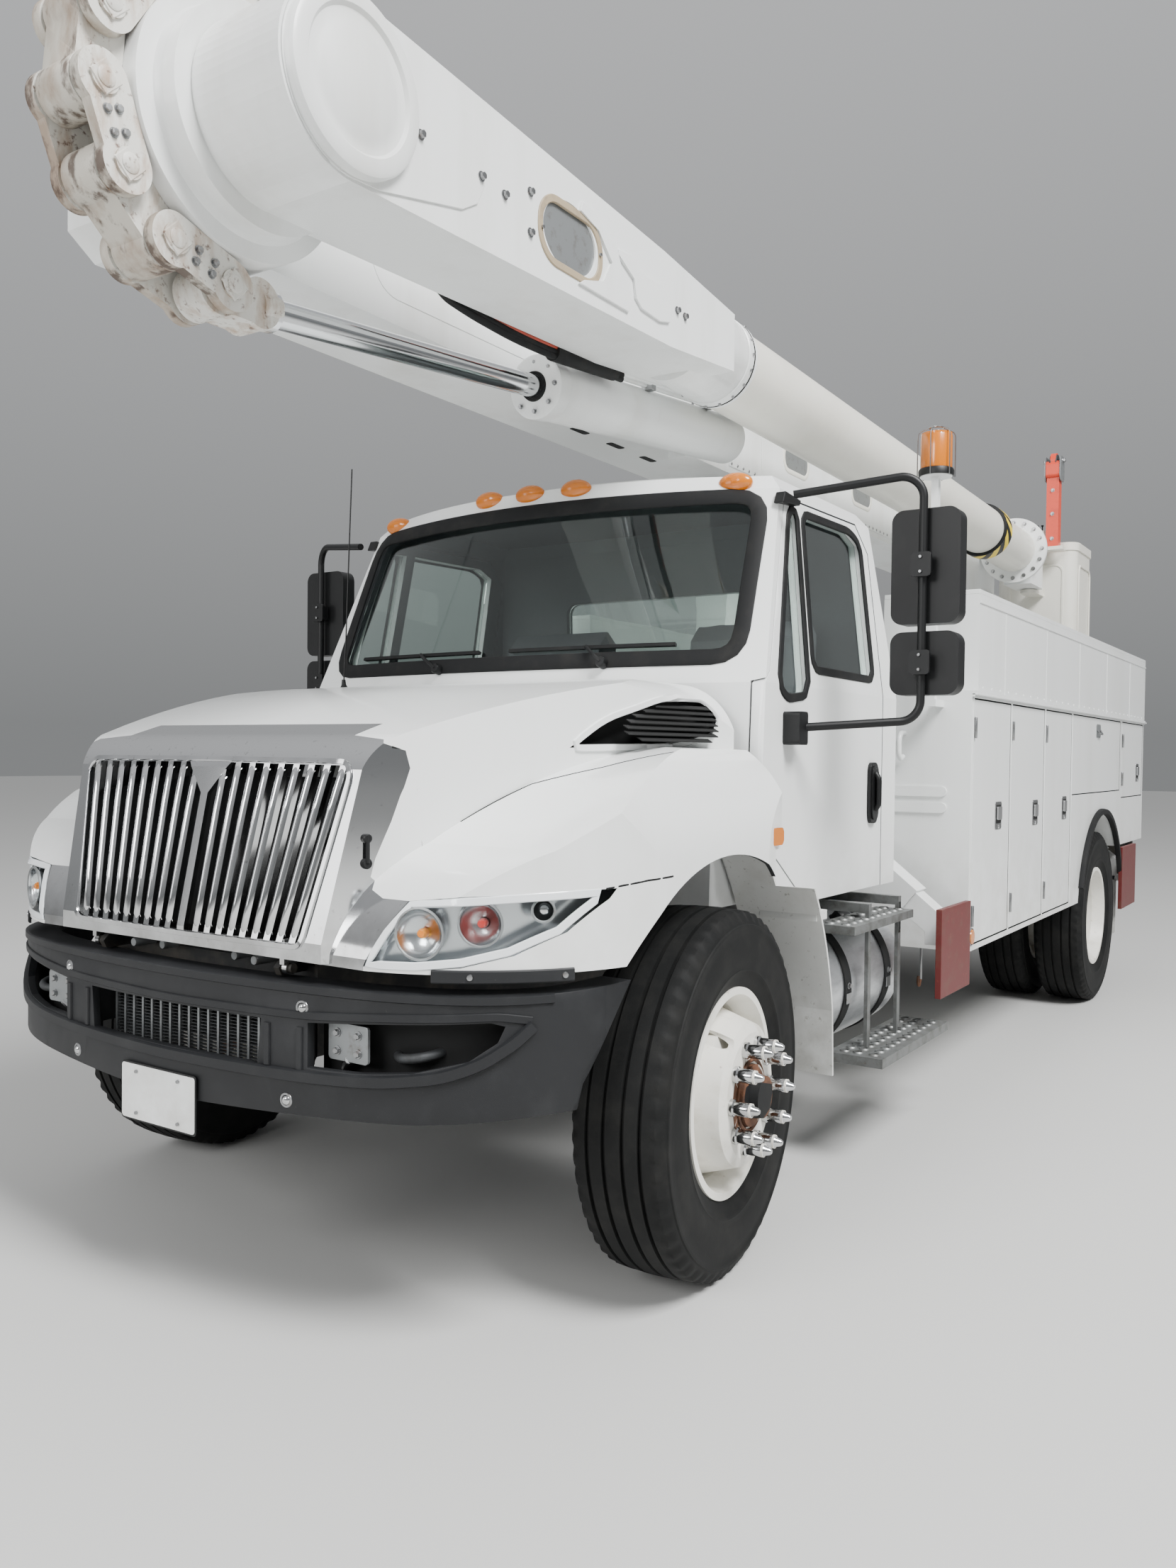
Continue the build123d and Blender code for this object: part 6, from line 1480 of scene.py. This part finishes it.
class TRUCK_OT_bucket_trim(bpy.types.Operator):
    """Control console, rim and ribs of the bucket, and the pulley head of the jib"""

    bl_idname = "truck.bucket_trim"
    bl_label = "Bucket and jib"

    def execute(self, context):
        bucket = Piece("bucket_console", "work_bucket", "dark_bumper_plastic")
        bucket.plate(1, rounded(-6780, 3215, 58, 60, 12), 250, 420, "gel_coat", 5)
        bucket.plate(1, rounded(-6722, 3225, 4, 42, 2), 268, 402, "black_plastic", 1)
        bucket.box((-6838, 270, 3172), (-6790, 400, 3190), "steel", 2)
        for y in (285, 320, 355, 390):
            lever = [(0, 52), (9, 50), (11, 44), (5, 38), (4, 0)]
            bucket.revolve(lever, at(-6790, y, 3275), Z, "black_plastic", 16)
        for x, out in ((-7400, -X), (-6810, X)):
            bucket.bead(on_front(rounded(345, 2680, 200, 330, 60), x), out, 16, 6, "gel_coat")
        for y, out in ((45, -Y), (645, Y)):
            bucket.bead(on_side(rounded(-7105, 2680, 200, 330, 60), y), out, 16, 6, "gel_coat")
        bucket.done()
        jib = Piece("jib_head", "lifting_jib", "orange_jib")
        for y, face, out in ((437, 437, -Y), (548, 554, Y)):
            jib.plate(1, rounded(-6690, 3725, 72, 96, 40), y, y + 6, "grey_plate", 1.5)
            jib.bolt(at(-6690, face, 3790), out, 34)
        pulley = [(26, -26), (62, -26), (64, -20), (48, -6), (48, 6), (64, 20), (62, 26), (26, 26)]
        jib.revolve(pulley, at(-6690, 495, 3775), Y, "casting", 40)
        for z in (3190, 3380, 3560):
            jib.bolt(at(-6645, 495, z), X, 22)
        jib.done()
        return {"FINISHED"}


# Soft daylight: grey at the horizon, almost white above, and the share of the sky over which it changes
HORIZON, ZENITH, SKY_STRENGTH = "#9A9C9D", "#FBFCFE", 0.72
SKY_RISE = (0.02, 0.75)
# Area lights of the studio: name, place, aim, size in metres and watts
LIGHTS = (
    ("key", (5, 9, 12), (1, 0, 1), 5, 4000), ("front", (15, -1, 7), (3, 0, 1), 5, 1000),
    ("edge", (12, -7, 3), (3, 0, 1), 4, 160))
# The photograph's camera: place in metres, yaw, pitch and roll in degrees, focal length in millimetres
CAMERA_PLACE = Vector((5.9769, 2.6729, 1.4770))
CAMERA_TURNS = (213.67, -1.359, 0.630)
CAMERA_LENS = 27.457
FLOOR = 60


class TRUCK_OT_stage(bpy.types.Operator):
    """Pale floor, soft light and the camera of the photograph"""

    bl_idname = "truck.stage"
    bl_label = "Stage"

    def execute(self, context):
        scene = context.scene
        floor = bpy.data.meshes.new("floor")
        corners = [(-FLOOR, -FLOOR, 0), (FLOOR, -FLOOR, 0), (FLOOR, FLOOR, 0), (-FLOOR, FLOOR, 0)]
        floor.from_pydata(corners, [], [(0, 1, 2, 3)])
        floor.materials.append(FINISHES["stage"])
        ground = bpy.data.objects.new("floor", floor)
        scene.collection.objects.link(ground)
        world = bpy.data.worlds.new("soft_sky")
        world.use_nodes = True
        tree = world.node_tree
        sky = tree.nodes["Background"]
        height = node(tree, "ShaderNodeSeparateXYZ", {
            "Vector": node(tree, "ShaderNodeTexCoord").outputs["Generated"]}).outputs["Z"]
        rise = node(tree, "ShaderNodeMapRange", {
            "Value": height, "From Min": SKY_RISE[0], "From Max": SKY_RISE[1], "To Min": 0.0, "To Max": 1.0})
        tint = blend(tree, rise.outputs["Result"], rgba(HORIZON), rgba(ZENITH))
        tree.links.new(tint, sky.inputs["Color"])
        sky.inputs["Strength"].default_value = SKY_STRENGTH
        scene.world = world
        for name, place, aim, size, power in LIGHTS:
            light = bpy.data.lights.new(name, "AREA")
            light.size = size
            light.energy = power
            lamp = bpy.data.objects.new(name, light)
            lamp.location = place
            lamp.rotation_euler = (Vector(aim) - Vector(place)).to_track_quat("-Z", "Y").to_euler()
            scene.collection.objects.link(lamp)
        scene.camera = self.camera(scene)
        return {"FINISHED"}

    def camera(self, scene):
        """The camera where the photograph was taken from."""
        yaw, pitch, roll = (math.radians(turn) for turn in CAMERA_TURNS)
        ahead = Vector((math.cos(yaw) * math.cos(pitch), math.sin(yaw) * math.cos(pitch), math.sin(pitch)))
        level = Vector((math.sin(yaw), -math.cos(yaw), 0))
        up = level.cross(ahead)
        right = level * math.cos(roll) + up * math.sin(roll)
        top = up * math.cos(roll) - level * math.sin(roll)
        lens = bpy.data.cameras.new("photo_camera")
        lens.sensor_width = 36
        lens.lens = CAMERA_LENS
        camera = bpy.data.objects.new("photo_camera", lens)
        turned = Matrix((right, top, -ahead)).transposed().to_4x4()
        camera.matrix_world = Matrix.Translation(CAMERA_PLACE) @ turned
        scene.collection.objects.link(camera)
        return camera


OPERATORS = (
    TRUCK_OT_finishes, TRUCK_OT_tyres, TRUCK_OT_wheel_trim, TRUCK_OT_glazing, TRUCK_OT_lamps,
    TRUCK_OT_hood_trim, TRUCK_OT_bumper_trim, TRUCK_OT_body_trim, TRUCK_OT_step_trim, TRUCK_OT_mirror_trim,
    TRUCK_OT_elbow_trim, TRUCK_OT_tube_trim, TRUCK_OT_boom_lines, TRUCK_OT_bucket_trim, TRUCK_OT_stage,
)


class TRUCK_PT_panel(bpy.types.Panel):
    """The truck's sizes, colours and steps, in the sidebar"""

    bl_idname = "TRUCK_PT_panel"
    bl_label = "Cherry picker truck"
    bl_space_type = "VIEW_3D"
    bl_region_type = "UI"
    bl_category = "Truck"

    def draw(self, context):
        for group in (context.scene.truck_colours, context.scene.truck_sizes):
            for name in group.__annotations__:
                self.layout.prop(group, name)
        for operator in OPERATORS:
            self.layout.operator(operator.bl_idname)


CLASSES = (TruckColours, TruckSizes, *OPERATORS, TRUCK_PT_panel)


def register():
    for made in CLASSES:
        bpy.utils.register_class(made)
    bpy.types.Scene.truck_colours = bpy.props.PointerProperty(type=TruckColours)
    bpy.types.Scene.truck_sizes = bpy.props.PointerProperty(type=TruckSizes)


def unregister():
    del bpy.types.Scene.truck_sizes
    del bpy.types.Scene.truck_colours
    for made in reversed(CLASSES):
        bpy.utils.unregister_class(made)


def main():
    """Runs every step in order."""
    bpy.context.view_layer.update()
    register()
    for operator in OPERATORS:
        group, name = operator.bl_idname.split(".")
        getattr(getattr(bpy.ops, group), name)()


if __name__ == "__main__":
    main()
